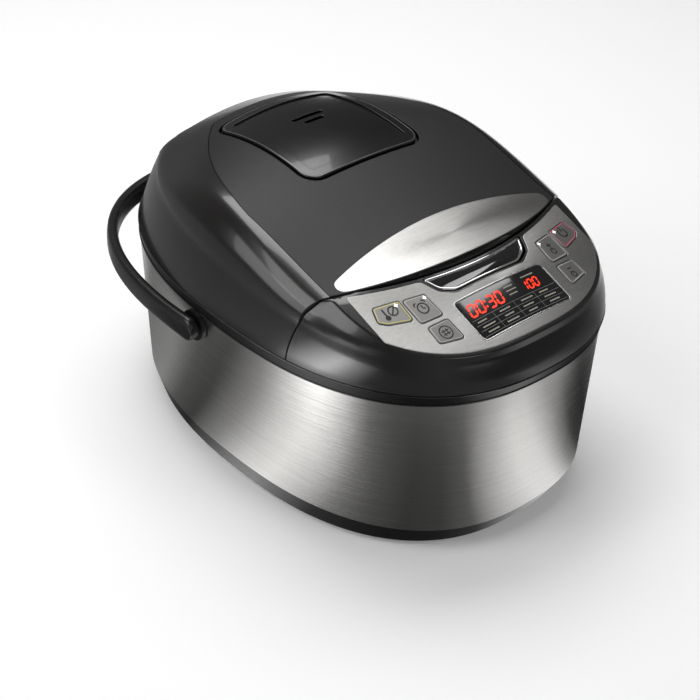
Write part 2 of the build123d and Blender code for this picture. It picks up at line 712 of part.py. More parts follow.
def trim_plate():
    return prism(trim_outline(), UNDER_LID, SKY) & (roof_under() - roof_under(TRIM_T))


WELL_TOP = SHOULDER_Z + 44.9


def vent_well():
    """Cup under the vent cover that catches drips, with the steam hole in its floor."""
    mid_y = (VENT_FRONT_Y + VENT_BACK_Y) / 2
    block = prism(vent_outline(VENT_GROOVE - 1 - FIT), WELL_TOP - WELL_DEPTH - 10, SKY)
    outer = block & roof_under(VENT_T + MOVE_GAP)
    inner = prism(vent_outline(VENT_GROOVE - 3), WELL_TOP - WELL_DEPTH - 8, SKY)
    well = outer - inner
    well -= rod(9, (0, mid_y, WELL_TOP - 40), (0, mid_y, WELL_TOP))
    return well


def vent_cover():
    """Lift-off cover: a flat frame round a sunk panel with two steam slots."""
    body = prism(vent_outline(), UNDER_LID, SKY) & (roof_under(-VENT_RISE) - roof_under(VENT_T))
    sunk = prism(vent_outline(-9), UNDER_LID, SKY) - roof_under(1.4)
    body -= sunk
    mid_y = (VENT_FRONT_Y + VENT_BACK_Y) / 2
    for half, y in ((11, mid_y + 13), (7.5, mid_y + 5)):
        body -= box(-half, half, y - 1.4, y + 1.4, UNDER_LID, SKY)
    return body


SEAL_Z = POT_RIM_Z + POT_RIM_T + MOVE_GAP
SEAL_TOP = SEAL_Z + 3.2


def lid_seal():
    """Silicone ring that closes on the pot's rim."""
    ring = tube(POT_RIM_R - 2, POT_R - 10, SEAL_Z + 1, SEAL_TOP)
    ring += tube(POT_RIM_R - 4, POT_R - 1, SEAL_Z, SEAL_Z + 1.5)
    return ring


def inner_lid():
    """Removable aluminium plate over the pot."""
    mid_y = (VENT_FRONT_Y + VENT_BACK_Y) / 2
    plate = rod(POT_RIM_R - 2, (0, 0, SEAL_TOP), (0, 0, SEAL_TOP + 1))
    plate -= rod(11, (0, mid_y, SEAL_TOP - 1), (0, mid_y, SEAL_TOP + 3))
    for i in range(6):
        angle = radians(60 * i + 30)
        x, y = 80 * cos(angle), 80 * sin(angle)
        plate -= rod(2, (x, y, SEAL_TOP - 1), (x, y, SEAL_TOP + 3))
    return plate


def lid_liner():
    """Moulded underside that closes the lid and holds the inner lid."""
    z0, z1 = SEAL_TOP + 1, SEAL_TOP + 3.4
    mid_y = (VENT_FRONT_Y + VENT_BACK_Y) / 2
    edge = WALL + 0.3
    liner = lid_plan(edge, 6) & box(-WIDE, WIDE, -WIDE, WIDE, z0, z1) & lid_region(edge, edge)
    liner -= rod(11, (0, mid_y, z0 - 1), (0, mid_y, z1 + 1))
    return liner


def steam_tube():
    """Silicone chimney from the pot to the steam well."""
    mid_y = (VENT_FRONT_Y + VENT_BACK_Y) / 2
    return tube(10.9, 7.5, SEAL_TOP, WELL_TOP - WELL_DEPTH - 10, 0, mid_y)


def steam_valve():
    """Drop-in valve body with a flap, standing in the steam well's hole."""
    mid_y = (VENT_FRONT_Y + VENT_BACK_Y) / 2
    low = WELL_TOP - WELL_DEPTH - 8
    body = tube(8.8, 5.5, low, low + 7, 0, mid_y)
    flange = tube(14, 8.0, low, low + 1.5, 0, mid_y)
    return body + flange + rod(8.8, (0, mid_y, low + 7), (0, mid_y, low + 8.4))


def lid_catch():
    """Steel tab on the lid's front wall, just below the hook's nose."""
    y, z = SEAM_Y + SEAM_GAP, HOOK_Z + HOOK_H - 5.6
    return box(-9, 9, y - 6, y + WALL + 4, z, z + 2.2)


# ================= hinge =================

def hinge_bracket():
    """Steel bracket on the deck with four cheeks that carry the hinge pin."""
    y, z = HINGE_Y, HINGE_Z
    bracket = box(-58, 58, y - 12, y + 16, DECK_TOP, DECK_TOP + 2)
    inner, outer = KNUCKLE_X
    for sx in (-1, 1):
        for x in (inner - MOVE_GAP - 2.5, outer + MOVE_GAP):
            x0, x1 = sorted((sx * x, sx * (x + 2.5)))
            bracket += box(x0, x1, y - 7, y + 7, DECK_TOP + 2, z)
            bracket += rod(7, (x0, y, z), (x1, y, z))
    return bracket - rod(PIN_R, (-80, y, z), (80, y, z))


def hinge_pin():
    return rod(PIN_R, (-PIN_HALF, HINGE_Y, HINGE_Z), (PIN_HALF, HINGE_Y, HINGE_Z))


def hinge_arms():
    """Two knuckles on the lid's back wall that turn on the pin."""
    arms = []
    inner, outer = KNUCKLE_X
    y, z = HINGE_Y, HINGE_Z
    for sx in (-1, 1):
        x0, x1 = sorted((sx * inner, sx * outer))
        arm = rod(KNUCKLE_R, (x0, y, z), (x1, y, z))
        arm += box(x0, x1, LID_BACK_Y, y, z - 5, z + KNUCKLE_R)
        arms.append(arm - rod(PIN_R + RUN_FIT, (-80, y, z), (80, y, z)))
    return Compound(arms)


def hinge_spring():
    """Torsion spring round the middle of the pin."""
    length = 2 * (KNUCKLE_X[0] - 8)
    place = Location((-length / 2, HINGE_Y, HINGE_Z), (0, 90, 0))
    return coil(5.6, 0.8, length / 8, length, place)


def rear_cover():
    """Fixed cover over the hinge, with slots for the lid's arms."""
    def shape(inset, sink):
        stack = [moved(GAP, inset, LID_GAP - sink), moved(SHOULDER, inset), moved(SHOULDER, inset, 20)]
        radius = COVER_BARREL_R - inset
        y, z = HINGE_Y, HINGE_Z
        profile = box(-WIDE, WIDE, y - radius, y + 200, GAP_Z - 10, z)
        profile += rod(radius, (-WIDE, y, z), (WIDE, y, z)) + box(-WIDE, WIDE, y, y + 200, z - 1, z + radius)
        return tower(stack) & profile
    cover = shape(0, 0) - shape(WALL, 6)
    inner, outer = KNUCKLE_X
    for sx in (-1, 1):
        x0, x1 = sorted((sx * (inner - 1.2), sx * (outer + 1.2)))
        cover -= box(x0, x1, HINGE_Y - 30, HINGE_Y + KNUCKLE_R + 1.2, HINGE_Z - KNUCKLE_R - 3, HINGE_Z + 40)
    return cover


# ================= handle =================

def strap_half_width():
    return SIDE + STRAP_CLEAR + STRAP_T / 2


def strap_edge(shift):
    """One edge of the U-shaped strap in plan: its middle line moved out by shift."""
    half, count = strap_half_width(), 15
    points = []
    for i in range(count):
        angle = pi * i / (count - 1)
        c, s = cos(angle), sin(angle)
        power = 2 / HANDLE_POWER
        x = copysign(abs(c) ** power, c) * half
        y = abs(s) ** power * HANDLE_REACH
        nx = copysign(abs(x / half) ** (HANDLE_POWER - 1), x) / half
        ny = (y / HANDLE_REACH) ** (HANDLE_POWER - 1) / HANDLE_REACH
        size = sqrt(nx * nx + ny * ny)
        points.append(Vector(x + shift * nx / size, PIVOT_Y + y + shift * ny / size, 0))
    return points


def carry_handle():
    """One-piece moulded strap with a round hub at each end."""
    outer, inner = strap_edge(STRAP_T / 2), strap_edge(-STRAP_T / 2)
    start, stop = (0, 1, 0), (0, -1, 0)
    edges = [
        Edge.make_spline(outer, tangents=[start, stop]),
        Edge.make_line(outer[-1], inner[-1]),
        Edge.make_spline(inner[::-1], tangents=[start, stop]),
        Edge.make_line(inner[0], outer[0]),
    ]
    strap = prism(Face(Wire(edges)), PIVOT_Z - STRAP_H / 2, PIVOT_Z + STRAP_H / 2)
    x = strap_half_width()
    for sx in (-1, 1):
        a, b = sx * (x - STRAP_T / 2), sx * (x + STRAP_T / 2)
        strap += rod(HUB_R, (a, PIVOT_Y, PIVOT_Z), (b, PIVOT_Y, PIVOT_Z))
        strap -= rod(PIVOT_R + RUN_FIT, (a - sx * 10, PIVOT_Y, PIVOT_Z), (b - sx * 3, PIVOT_Y, PIVOT_Z))
    return strap


def handle_pivots():
    """Shouldered pins through the steel wall that the handle turns on."""
    pivots = []
    wall_x = steel_level(PIVOT_Z)[0]
    x = strap_half_width()
    for sx in (-1, 1):
        def across(radius, start, stop):
            return rod(radius, (sx * start, PIVOT_Y, PIVOT_Z), (sx * stop, PIVOT_Y, PIVOT_Z))
        pin = across(PIVOT_R, wall_x - 5, x + STRAP_T / 2 - 3.4)
        boss = across(12, wall_x + 0.3, x - STRAP_T / 2 - MOVE_GAP)
        nut = across(PIVOT_NUT_R, wall_x - 6.5, wall_x - 3.2)
        pivots.append(pin + boss + nut)
    return Compound(pivots)


# ================= rear and inside fittings =================

def back_wall_y(x, z):
    """Where the steel wall's outside is at the back, for a plan x and a height."""
    side, _, back, _, _, _ = steel_level(z)
    return WIDE_Y + back * (1 - (abs(x) / side) ** BACK_POWER) ** (1 / BACK_POWER)


def power_inlet():
    """Three-pin appliance inlet in the steel wall."""
    y = back_wall_y(INLET_X + 17, INLET_Z - 13)
    flange_y = back_wall_y(INLET_X - 21, INLET_Z + 15) + 1
    body = box(INLET_X - 15, INLET_X + 15, y - 24, flange_y, INLET_Z - 11.5, INLET_Z + 11.5)
    body += box(INLET_X - 21, INLET_X + 21, flange_y, flange_y + 3, INLET_Z - 16, INLET_Z + 16)
    socket = box(INLET_X - 12.2, INLET_X + 12.2, flange_y - 14, flange_y + 5, INLET_Z - 8.2, INLET_Z + 8.2)
    return body - socket


def inlet_pins():
    flange_y = back_wall_y(INLET_X - 21, INLET_Z + 15) + 1
    pins = []
    for dx, dz in ((-7, -2), (0, 2), (7, -2)):
        x, z = INLET_X + dx, INLET_Z + dz
        pins.append(box(x - 1, x + 1, flange_y - 14, flange_y - 1, z - 2, z + 2))
    return Compound(pins)


def power_board():
    """Relay and supply board standing on the tray in front of the liner."""
    y = SEAM_Y - 30
    board = box(-60, 60, y - 0.8, y + 0.8, FLOOR_TOP + 6, FLOOR_TOP + 76)
    board += box(-50, -30, y - 16, y - 0.8, FLOOR_TOP + 14, FLOOR_TOP + 34)
    board += box(-18, 12, y - 20, y - 0.8, FLOOR_TOP + 12, FLOOR_TOP + 38)
    board += rod(8, (34, y - 0.8, FLOOR_TOP + 30), (34, y - 22, FLOOR_TOP + 30))
    return board + box(26, 44, y - 12, y - 0.8, FLOOR_TOP + 50, FLOOR_TOP + 60)


def board_slots():
    """Two slotted posts that hold the power board."""
    y = SEAM_Y - 30
    posts = []
    for sx in (-1, 1):
        x0, x1 = sorted((sx * 58, sx * 65))
        post = box(x0, x1, y - 5, y + 5, FLOOR_TOP, FLOOR_TOP + 50)
        g0, g1 = sorted((0, sx * 60.2))
        posts.append(post - box(g0, g1, y - 0.9, y + 0.9, 0, 100))
    return Compound(posts)


def thermal_fuse():
    x = LINER_R + LINER_T
    return rod(3, (-x - 3, -10, 70), (-x - 3, 10, 70)) + box(-x - 3, -x, -4, 4, 67.5, 72.5)


def cup_shelf():
    """Shelf with side rails that the condensate cup slides onto."""
    back = back_wall_y(0, CUP_Z + CUP_H)
    y0 = back + 0.4
    x = CUP_HALF_X + MOVE_GAP
    shelf = box(-x - 3, x + 3, y0, y0 + CUP_DEPTH, CUP_Z - 3, CUP_Z - MOVE_GAP)
    shelf += box(-x - 3, x + 3, y0, y0 + 2, CUP_Z - 3, CUP_Z + CUP_H - 6)
    for sx in (-1, 1):
        x0, x1 = sorted((sx * x, sx * (x + 3)))
        shelf += box(x0, x1, y0, y0 + CUP_DEPTH - 3, CUP_Z - 3, CUP_Z + 8)
    return shelf


def condensate_cup():
    """Clear drip cup below the hinge."""
    y0 = back_wall_y(0, CUP_Z + CUP_H) + 0.4 + 2 + MOVE_GAP
    cup = box(-CUP_HALF_X, CUP_HALF_X, y0, y0 + CUP_DEPTH, CUP_Z, CUP_Z + CUP_H)
    cup = fillet(cup.edges().filter_by(Axis.Z), 2.5)
    half, wall = CUP_HALF_X - 1.6, 1.6
    return cup - box(-half, half, y0 + wall, y0 + CUP_DEPTH - wall, CUP_Z + 1.8, CUP_Z + CUP_H + 1)


# ================= build =================

def build():
    parts = {
        "base_tray": base_tray(),
        "rubber_feet": rubber_feet(),
        "base_screws": base_screws(),
        "outer_shell": outer_shell(),
        "top_ring": top_ring(),
        "inner_liner": inner_liner(),
        "plate_posts": plate_posts(),
        "heating_plate": heating_plate(),
        "heating_element": heating_element(),
        "pot_sensor": pot_sensor(),
        "sensor_guide": sensor_guide(),
        "sensor_spring": sensor_spring(),
        "inner_pot": inner_pot(),
        "console_housing": console_housing(),
        "console_screws": console_screws(),
        "console_panel": console_panel(),
        "display_window": display_window(),
        "display_module": display_module(),
        "control_board": control_board(),
        "tact_switches": tact_switches(),
        "release_button": release_button(),
        "button_stem": button_stem(),
        "button_spring": button_spring(),
        "latch_frame": latch_frame(),
        "latch_pin": latch_pin(),
        "latch_hook": latch_hook(),
        "lid_shell": lid_shell(),
        "lid_top_panel": lid_top_panel(),
        "trim_plate": trim_plate(),
        "vent_well": vent_well(),
        "vent_cover": vent_cover(),
        "lid_seal": lid_seal(),
        "inner_lid": inner_lid(),
        "lid_liner": lid_liner(),
        "steam_tube": steam_tube(),
        "steam_valve": steam_valve(),
        "lid_catch": lid_catch(),
        "hinge_bracket": hinge_bracket(),
        "hinge_pin": hinge_pin(),
        "hinge_arms": hinge_arms(),
        "hinge_spring": hinge_spring(),
        "rear_cover": rear_cover(),
        "carry_handle": carry_handle(),
        "handle_pivots": handle_pivots(),
        "power_inlet": power_inlet(),
        "inlet_pins": inlet_pins(),
        "power_board": power_board(),
        "board_slots": board_slots(),
        "thermal_fuse": thermal_fuse(),
        "cup_shelf": cup_shelf(),
        "condensate_cup": condensate_cup(),
    }
    for name in key_outlines():
        parts[name] = key(name)
    return parts


os.makedirs("parts", exist_ok=True)
for node, shape in build().items():
    export_step(shape, f"parts/{node}.step")
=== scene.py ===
from math import atan, cos, hypot, pi, radians, sin, sqrt

import bpy
import numpy as np
from mathutils import Matrix, Vector
from mathutils.geometry import delaunay_2d_cdt


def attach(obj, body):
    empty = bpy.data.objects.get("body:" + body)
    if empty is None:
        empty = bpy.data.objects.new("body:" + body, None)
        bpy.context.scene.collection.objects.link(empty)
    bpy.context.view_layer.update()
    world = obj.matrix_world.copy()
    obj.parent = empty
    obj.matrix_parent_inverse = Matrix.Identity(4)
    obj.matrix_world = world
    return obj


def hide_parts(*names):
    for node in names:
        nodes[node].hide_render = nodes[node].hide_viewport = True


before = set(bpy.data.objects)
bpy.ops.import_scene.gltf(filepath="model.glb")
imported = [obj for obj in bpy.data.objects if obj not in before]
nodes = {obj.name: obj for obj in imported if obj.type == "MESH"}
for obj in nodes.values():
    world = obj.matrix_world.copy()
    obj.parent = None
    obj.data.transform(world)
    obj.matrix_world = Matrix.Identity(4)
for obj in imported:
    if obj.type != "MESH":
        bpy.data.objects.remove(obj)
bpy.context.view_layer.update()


# ---- Table top and light tent ----
# The cooker stands on a seamless white paper sweep. Large soft panels light it from the left and
# above, and the tent's dark and bright stripes are what the brushed steel shows as upright bands.

MM = 0.001


def linear(code):
    """An sRGB hex code as linear RGBA."""
    parts = [int(code[i:i + 2], 16) / 255 for i in (1, 3, 5)]
    return [c / 12.92 if c <= 0.04045 else ((c + 0.055) / 1.055) ** 2.4 for c in parts] + [1.0]


def add(tree, kind, settings=(), links=()):
    """Adds a node. Settings name its properties or input sockets, and links join its inputs to outputs."""
    node = tree.nodes.new(kind)
    for key, value in dict(settings).items():
        if isinstance(key, str) and hasattr(node, key) and key not in node.inputs:
            setattr(node, key, value)
        else:
            node.inputs[key].default_value = value
    for key, output in dict(links).items():
        tree.links.new(output, node.inputs[key])
    return node


def new_finish(name, **surface):
    """A material by its real name, with its Principled shader's own numbers set on the sockets."""
    material = bpy.data.materials.new(name)
    material.use_nodes = True
    shader = material.node_tree.nodes["Principled BSDF"]
    for key, value in surface.items():
        shader.inputs[key.replace("_", " ").title().replace("Ior", "IOR")].default_value = value
    return material, material.node_tree, shader


def put_on(material, *names):
    """Gives CAD nodes a new finish through their own material slots."""
    for name in names:
        mesh = nodes[name].data
        if not mesh.materials:
            mesh.materials.append(material)
        for i in range(len(mesh.materials)):
            mesh.materials[i] = material


def by_grain(tree, shader, grain, low, high, strength, depth_mm, span=(0.0, 1.0)):
    """Lets a pattern drive a shader's roughness and a shallow relief."""
    rough = add(tree, "ShaderNodeMapRange", {"From Min": span[0], "From Max": span[1], "To Min": low, "To Max": high},
                {"Value": grain})
    tree.links.new(rough.outputs[0], shader.inputs["Roughness"])
    relief = add(tree, "ShaderNodeBump", {"Strength": strength, "Distance": depth_mm * MM}, {"Height": grain})
    tree.links.new(relief.outputs[0], shader.inputs["Normal"])


def between(tree, shader, pattern, dark, light, start, stop):
    """Base colour from one hex to another across part of a pattern's range."""
    tint = add(tree, "ShaderNodeValToRGB", links={0: pattern})
    for element, place, code in zip(tint.color_ramp.elements, (start, stop), (dark, light)):
        element.position, element.color = place, linear(code)
    tree.links.new(tint.outputs[0], shader.inputs["Base Color"])


PAPER_HALF = 6.0

# Mirrored light only: upright cards round the table would show in the steel, so the paper answers a
# glossy ray with their stripes. Share of a full turn from -X, anticlockwise, and the card's light.
CARDS = ((0.0, 0.8), (0.014, 1.1), (0.044, 1.45), (0.075, 0.85), (0.103, 0.22), (0.133, 0.1), (0.161, 0.05),
         (0.192, 0.06), (0.219, 0.14), (0.25, 0.8), (0.278, 1.35), (0.297, 1.3), (0.322, 0.4), (0.342, 0.06),
         (0.375, 0.02), (0.42, 0.1), (0.45, 0.4), (0.5, 0.9), (0.583, 0.15), (0.667, 0.1), (0.75, 0.9), (0.806, 0.2),
         (0.872, 0.35), (0.906, 0.12), (0.939, 0.06), (0.978, 0.4), (1.0, 0.8))

# Beyond them stand brighter cards that only the gloss plastic's side band reaches.
FAR_CARDS = ((0.0, 5.0), (0.025, 9.0), (0.05, 3.0), (0.08, 0.2), (0.3, 0.3), (0.34, 1.2), (0.37, 0.3), (0.42, 0.2),
             (0.6, 1.5), (0.7, 0.3), (0.9, 0.3), (0.97, 0.5), (1.0, 5.0))
FAR_FROM, FAR_BLEND = 0.36, 0.08     # metres from the middle


def striped(tree, vector, stripes):
    """Brightness by compass direction of a vector, from a list of places and lights."""
    split = add(tree, "ShaderNodeSeparateXYZ", links={0: vector})
    angle = add(tree, "ShaderNodeMath", {"operation": "ARCTAN2"}, {0: split.outputs["Y"], 1: split.outputs["X"]})
    turn = add(tree, "ShaderNodeMapRange", {"From Min": -pi, "From Max": pi}, {"Value": angle.outputs[0]})
    colours = add(tree, "ShaderNodeValToRGB", links={0: turn.outputs[0]})
    ramp = colours.color_ramp
    ramp.elements[0].position, ramp.elements[1].position = stripes[0][0], stripes[-1][0]
    for place, _ in stripes[1:-1]:
        ramp.elements.new(place)
    for element, (_, light) in zip(ramp.elements, stripes):
        element.color = (light, light, light, 1)
    return colours.outputs[0]


paper = bpy.data.materials.new("white_paper_sweep")
paper.use_nodes = True
tree = paper.node_tree
tree.nodes.remove(tree.nodes["Principled BSDF"])
matt = add(tree, "ShaderNodeBsdfDiffuse", {"Color": linear("#f6f6f6")})
place = add(tree, "ShaderNodeTexCoord")
reach = add(tree, "ShaderNodeVectorMath", {"operation": "LENGTH"}, {0: place.outputs["Object"]})
outside = add(tree, "ShaderNodeMapRange", {"From Min": FAR_FROM, "From Max": FAR_FROM + FAR_BLEND},
              {"Value": reach.outputs["Value"]})
near_cards = add(tree, "ShaderNodeEmission", links={"Color": striped(tree, place.outputs["Object"], CARDS)})
far_cards = add(tree, "ShaderNodeEmission", links={"Color": striped(tree, place.outputs["Object"], FAR_CARDS)})
cards = add(tree, "ShaderNodeMixShader",
            links={0: outside.outputs[0], 1: near_cards.outputs[0], 2: far_cards.outputs[0]})
lift = add(tree, "ShaderNodeEmission", {"Strength": 0.16})
lit = add(tree, "ShaderNodeAddShader", links={0: matt.outputs[0], 1: lift.outputs[0]})
ray = add(tree, "ShaderNodeLightPath")
either = add(tree, "ShaderNodeMixShader",
             links={0: ray.outputs["Is Glossy Ray"], 1: lit.outputs[0], 2: cards.outputs[0]})
tree.links.new(either.outputs[0], tree.nodes["Material Output"].inputs["Surface"])

half = PAPER_HALF
sweep_mesh = bpy.data.meshes.new("paper_sweep")
sweep_mesh.from_pydata([(-half, -half, 0), (half, -half, 0), (half, half, 0), (-half, half, 0)], [], [(0, 1, 2, 3)])
sweep_mesh.materials.append(paper)
sweep = bpy.data.objects.new("paper_sweep", sweep_mesh)
bpy.context.scene.collection.objects.link(sweep)

world = bpy.data.worlds.new("light_tent")
bpy.context.scene.world = world
world.use_nodes = True
tree = world.node_tree
back = tree.nodes["Background"]
where = add(tree, "ShaderNodeTexCoord")
TENT = ((0.0, 0.25), (0.1, 0.12), (0.2, 0.3), (0.3, 0.05), (0.45, 0.2), (0.6, 0.06), (0.75, 0.25), (0.9, 0.08),
        (1.0, 0.25))
tree.links.new(striped(tree, where.outputs["Generated"], TENT), back.inputs["Color"])
back.inputs["Strength"].default_value = 1.0

# Each soft panel: name, middle, what it faces, width, height, watts.
PANELS = (
    ("overhead", (0.25, 0.65, 1.75), (0, 0, 0.1), 1.3, 1.0, 20),
    ("left_low", (-1.55, 0.6, 0.8), (0, 0, 0.15), 0.7, 0.8, 4),
    ("left_high", (-1.3, 0.1, 1.5), (0, 0, 0.1), 0.9, 1.0, 9),
    ("right_card", (0.98, 0.14, 1.5), (0, -0.12, 0.19), 0.42, 0.3, 1.5),
    ("front_fill", (0.2, -1.8, 1.2), (0, 0, 0.1), 0.8, 0.9, 4),
)
for name, middle, aim, width, height, watts in PANELS:
    lamp = bpy.data.lights.new(name, "AREA")
    lamp.shape, lamp.size, lamp.size_y, lamp.energy = "RECTANGLE", width, height, watts
    panel = bpy.data.objects.new(name, lamp)
    panel.location = middle
    panel.rotation_euler = (Vector(aim) - Vector(middle)).to_track_quat("-Z", "Y").to_euler()
    panel.visible_camera = False
    bpy.context.scene.collection.objects.link(panel)

# ---- Camera ----
# It looks down on the left front corner from about 1.4 m away, rolled by a few degrees.
CAMERA_AT = Vector((-0.7957, -0.8085, 0.8309))
CAMERA_TURN, CAMERA_RISE, CAMERA_ROLL = radians(-45.12), radians(34.6), radians(4.25)
LENS_MM, SHIFT_X = 87.94, -0.0129

back_way = Vector((sin(CAMERA_TURN) * cos(CAMERA_RISE), -cos(CAMERA_TURN) * cos(CAMERA_RISE), sin(CAMERA_RISE)))
level_x = Vector((0, 0, 1)).cross(back_way).normalized()
level_y = back_way.cross(level_x)
right = cos(CAMERA_ROLL) * level_x + sin(CAMERA_ROLL) * level_y
up = -sin(CAMERA_ROLL) * level_x + cos(CAMERA_ROLL) * level_y
optics = bpy.data.cameras.new("camera")
optics.lens, optics.shift_x = LENS_MM, SHIFT_X
camera = bpy.data.objects.new("camera", optics)
camera.matrix_world = Matrix.Translation(CAMERA_AT) @ Matrix((right, up, back_way)).transposed().to_4x4()
bpy.context.scene.collection.objects.link(camera)
bpy.context.scene.camera = camera
bpy.context.scene.view_settings.view_transform = "Standard"


# ---- Steel wall ----
# The wall is stainless sheet, 0.8 mm thick, rolled to an egg-shaped oval and laser welded at the back.
# It is belt brushed round and round, so its grain lies level and smears each reflection up and down.
BRUSH_GRAIN_MM, BRUSH_STREAK_MM = 0.4, 90.0     # a real 0.05 mm grain is too fine to show

steel, tree, shader = new_finish("belt_brushed_stainless_steel", Metallic=1.0, Anisotropic=0.75)
shader.inputs["Anisotropic Rotation"].default_value = 0.25
around = add(tree, "ShaderNodeTangent", {"direction_type": "RADIAL", "axis": "Z"}, {})
tree.links.new(around.outputs[0], shader.inputs["Tangent"])
place = add(tree, "ShaderNodeTexCoord")
brush_scale = [1 / (size * MM) for size in (BRUSH_STREAK_MM, BRUSH_STREAK_MM, BRUSH_GRAIN_MM)]
stretch = add(tree, "ShaderNodeMapping", {"Scale": brush_scale}, {"Vector": place.outputs["Object"]})
grain = add(tree, "ShaderNodeTexNoise", {"Scale": 1.0, "Detail": 6.0, "Roughness": 0.65},
            {"Vector": stretch.outputs[0]})
between(tree, shader, grain.outputs["Fac"], "#b4b3b1", "#cfcecc", 0.3, 0.75)
by_grain(tree, shader, grain.outputs["Fac"], 0.2, 0.32, 0.12, 0.05)
put_on(steel, "outer_shell")

# ---- Base tray, top ring and rear cover ----
# They are moulded in black ABS with a fine spark-eroded texture, which gives a soft satin sheen.
# The tray carries the rubber feet, the ring clips on the steel wall, and the cover hides the hinge.
MOULD_GRAIN_MM = 0.9    # the real 0.1 mm texture is drawn coarser, so that it shows
DRIFT_MM = 45           # slow change of tone across a moulding


def moulded(name, code, low, high, grain_mm, bump, **surface):
    """Moulded plastic: its colour drifts slightly and its roughness follows a fine eroded grain."""
    material, tree, shader = new_finish(name, **surface)
    place = add(tree, "ShaderNodeTexCoord")
    fine = add(tree, "ShaderNodeTexNoise", {"Scale": 1 / (grain_mm * MM), "Detail": 3.0},
               {"Vector": place.outputs["Object"]})
    broad = add(tree, "ShaderNodeTexNoise", {"Scale": 1 / (DRIFT_MM * MM), "Detail": 2.0},
                {"Vector": place.outputs["Object"]})
    colour = linear(code)
    mix = add(tree, "ShaderNodeMix", {"data_type": "RGBA"}, {"Factor": broad.outputs["Fac"]})
    mix.inputs[6].default_value = [c * 0.85 for c in colour[:3]] + [1]
    mix.inputs[7].default_value = [min(1, c * 1.15) for c in colour[:3]] + [1]
    tree.links.new(mix.outputs[2], shader.inputs["Base Color"])
    by_grain(tree, shader, fine.outputs["Fac"], low, high, bump, 0.03, (0.3, 0.7))
    return material


satin = moulded("spark_textured_black_abs", "#101010", 0.28, 0.38, MOULD_GRAIN_MM, 0.2)
put_on(satin, "base_tray", "top_ring", "rear_cover", "cup_shelf", "power_inlet", "handle_pivots")

# ---- Plan of the body ----
# Every level of the body is the same egg: a superellipse with its own reach in front and behind.
WIDE_Y = -27.0
GAP_OVAL, GAP_Z = (145.0, 179.0, 212.0, 2.43), 146.1
EDGE_OVAL, EDGE_Z, EDGE_CLIMB = (137.7, 169.0, 190.0, 2.65), 181.1, 0.09
BACK_POWER = 2.3
BAND_BULGE = 1.2        # the side band is slightly barrelled


def on_oval(oval, angle, inset=0.0):
    """Plan point of an oval at an angle from its right-hand end, moved in by inset."""
    side, front, back, power = oval
    bend = 2 / (power if sin(angle) < 0 else BACK_POWER)
    reach = front if sin(angle) < 0 else back
    x = np.copysign(abs(cos(angle)) ** bend, cos(angle)) * (side - inset)
    return x, WIDE_Y + np.copysign(abs(sin(angle)) ** bend, sin(angle)) * (reach - inset)


def mesh_piece(name, points, faces, material, body, cad, slot, smooth=40):
    mesh = bpy.data.meshes.new(name)
    mesh.from_pydata([tuple(c * MM for c in p) for p in points], [], faces)
    mesh.materials.append(material)
    mesh.validate()
    mesh.shade_smooth()
    mesh.set_sharp_from_angle(angle=radians(smooth))
    piece = bpy.data.objects.new(name, mesh)
    bpy.context.scene.collection.objects.link(piece)
    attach(piece, body)
    if cad:
        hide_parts(*cad)
    return piece


def strip_faces(loops, closed=True, start=0):
    """Quads between successive loops that have the same number of points."""
    count, faces = len(loops[0]), []
    for k in range(len(loops) - 1):
        for i in range(count if closed else count - 1):
            j = (i + 1) % count
            a, b = start + k * count, start + (k + 1) * count
            faces.append((a + i, a + j, b + j, b + i))
    return faces


# ---- Top ring beads ----
# The ring's two edges are rolled into fine polished beads that hide its joints with the steel and
# the lid. They are part of the same moulding, and catch a thin line of light all the way round.
BEAD_R, BEAD_N, BEAD_SIDES = 0.55, 260, 10
bead_black = moulded("polished_bead_black_abs", "#1a1a1a", 0.12, 0.18, 1.0, 0.02, Coat_Weight=0.6)
BEADS = (("lower", (144.5, 177.0, 211.0, 2.43), 136.9, 0.25), ("upper", (145.0, 179.0, 212.0, 2.43), 144.9, 0.0))
for name, oval, z, grow in BEADS:
    loops = []
    for i in range(BEAD_SIDES + 1):
        turn = 2 * pi * i / BEAD_SIDES
        inset = -grow - BEAD_R * cos(turn)
        loops.append([(*on_oval(oval, 2 * pi * k / BEAD_N, inset), z + BEAD_R * sin(turn)) for k in range(BEAD_N)])
    mesh_piece("top_ring_bead_" + name, [p for loop in loops for p in loop], strip_faces(loops), bead_black,
               "base", [], "satin_black_plastic", 80)

# ---- Lid ----
# The lid is one gloss ABS moulding: an upright side band, a fat rounded shoulder ring and a bed for
# the top panel. The seam in front is an arc, and the back wall is flat against the hinge cover.
SEAM_Y, SEAM_R, SEAM_GAP = -125.5, 270.0, 1.0
LID_BACK_Y = 133.0
GROOVE_X, GROOVE_TURN_Y, GROOVE_BACK_X, GROOVE_BACK_Y = 115.0, -10.0, 48.0, 113.0
# distance behind the widest line, height on the centre line and at the groove, groove's share of the half-width
ROOF = np.array([(-112, 200.8, 186.5, 0.93), (-60, 209.3, 197.5, 0.86), (-8, 222, 212, 0.84), (40, 232.5, 221.5, 0.82),
                 (92, 234, 219.5, 0.78), (135, 225.5, 211, 0.76), (168, 211.5, 202, 0.88)])
CROWN_POWER = 1.9


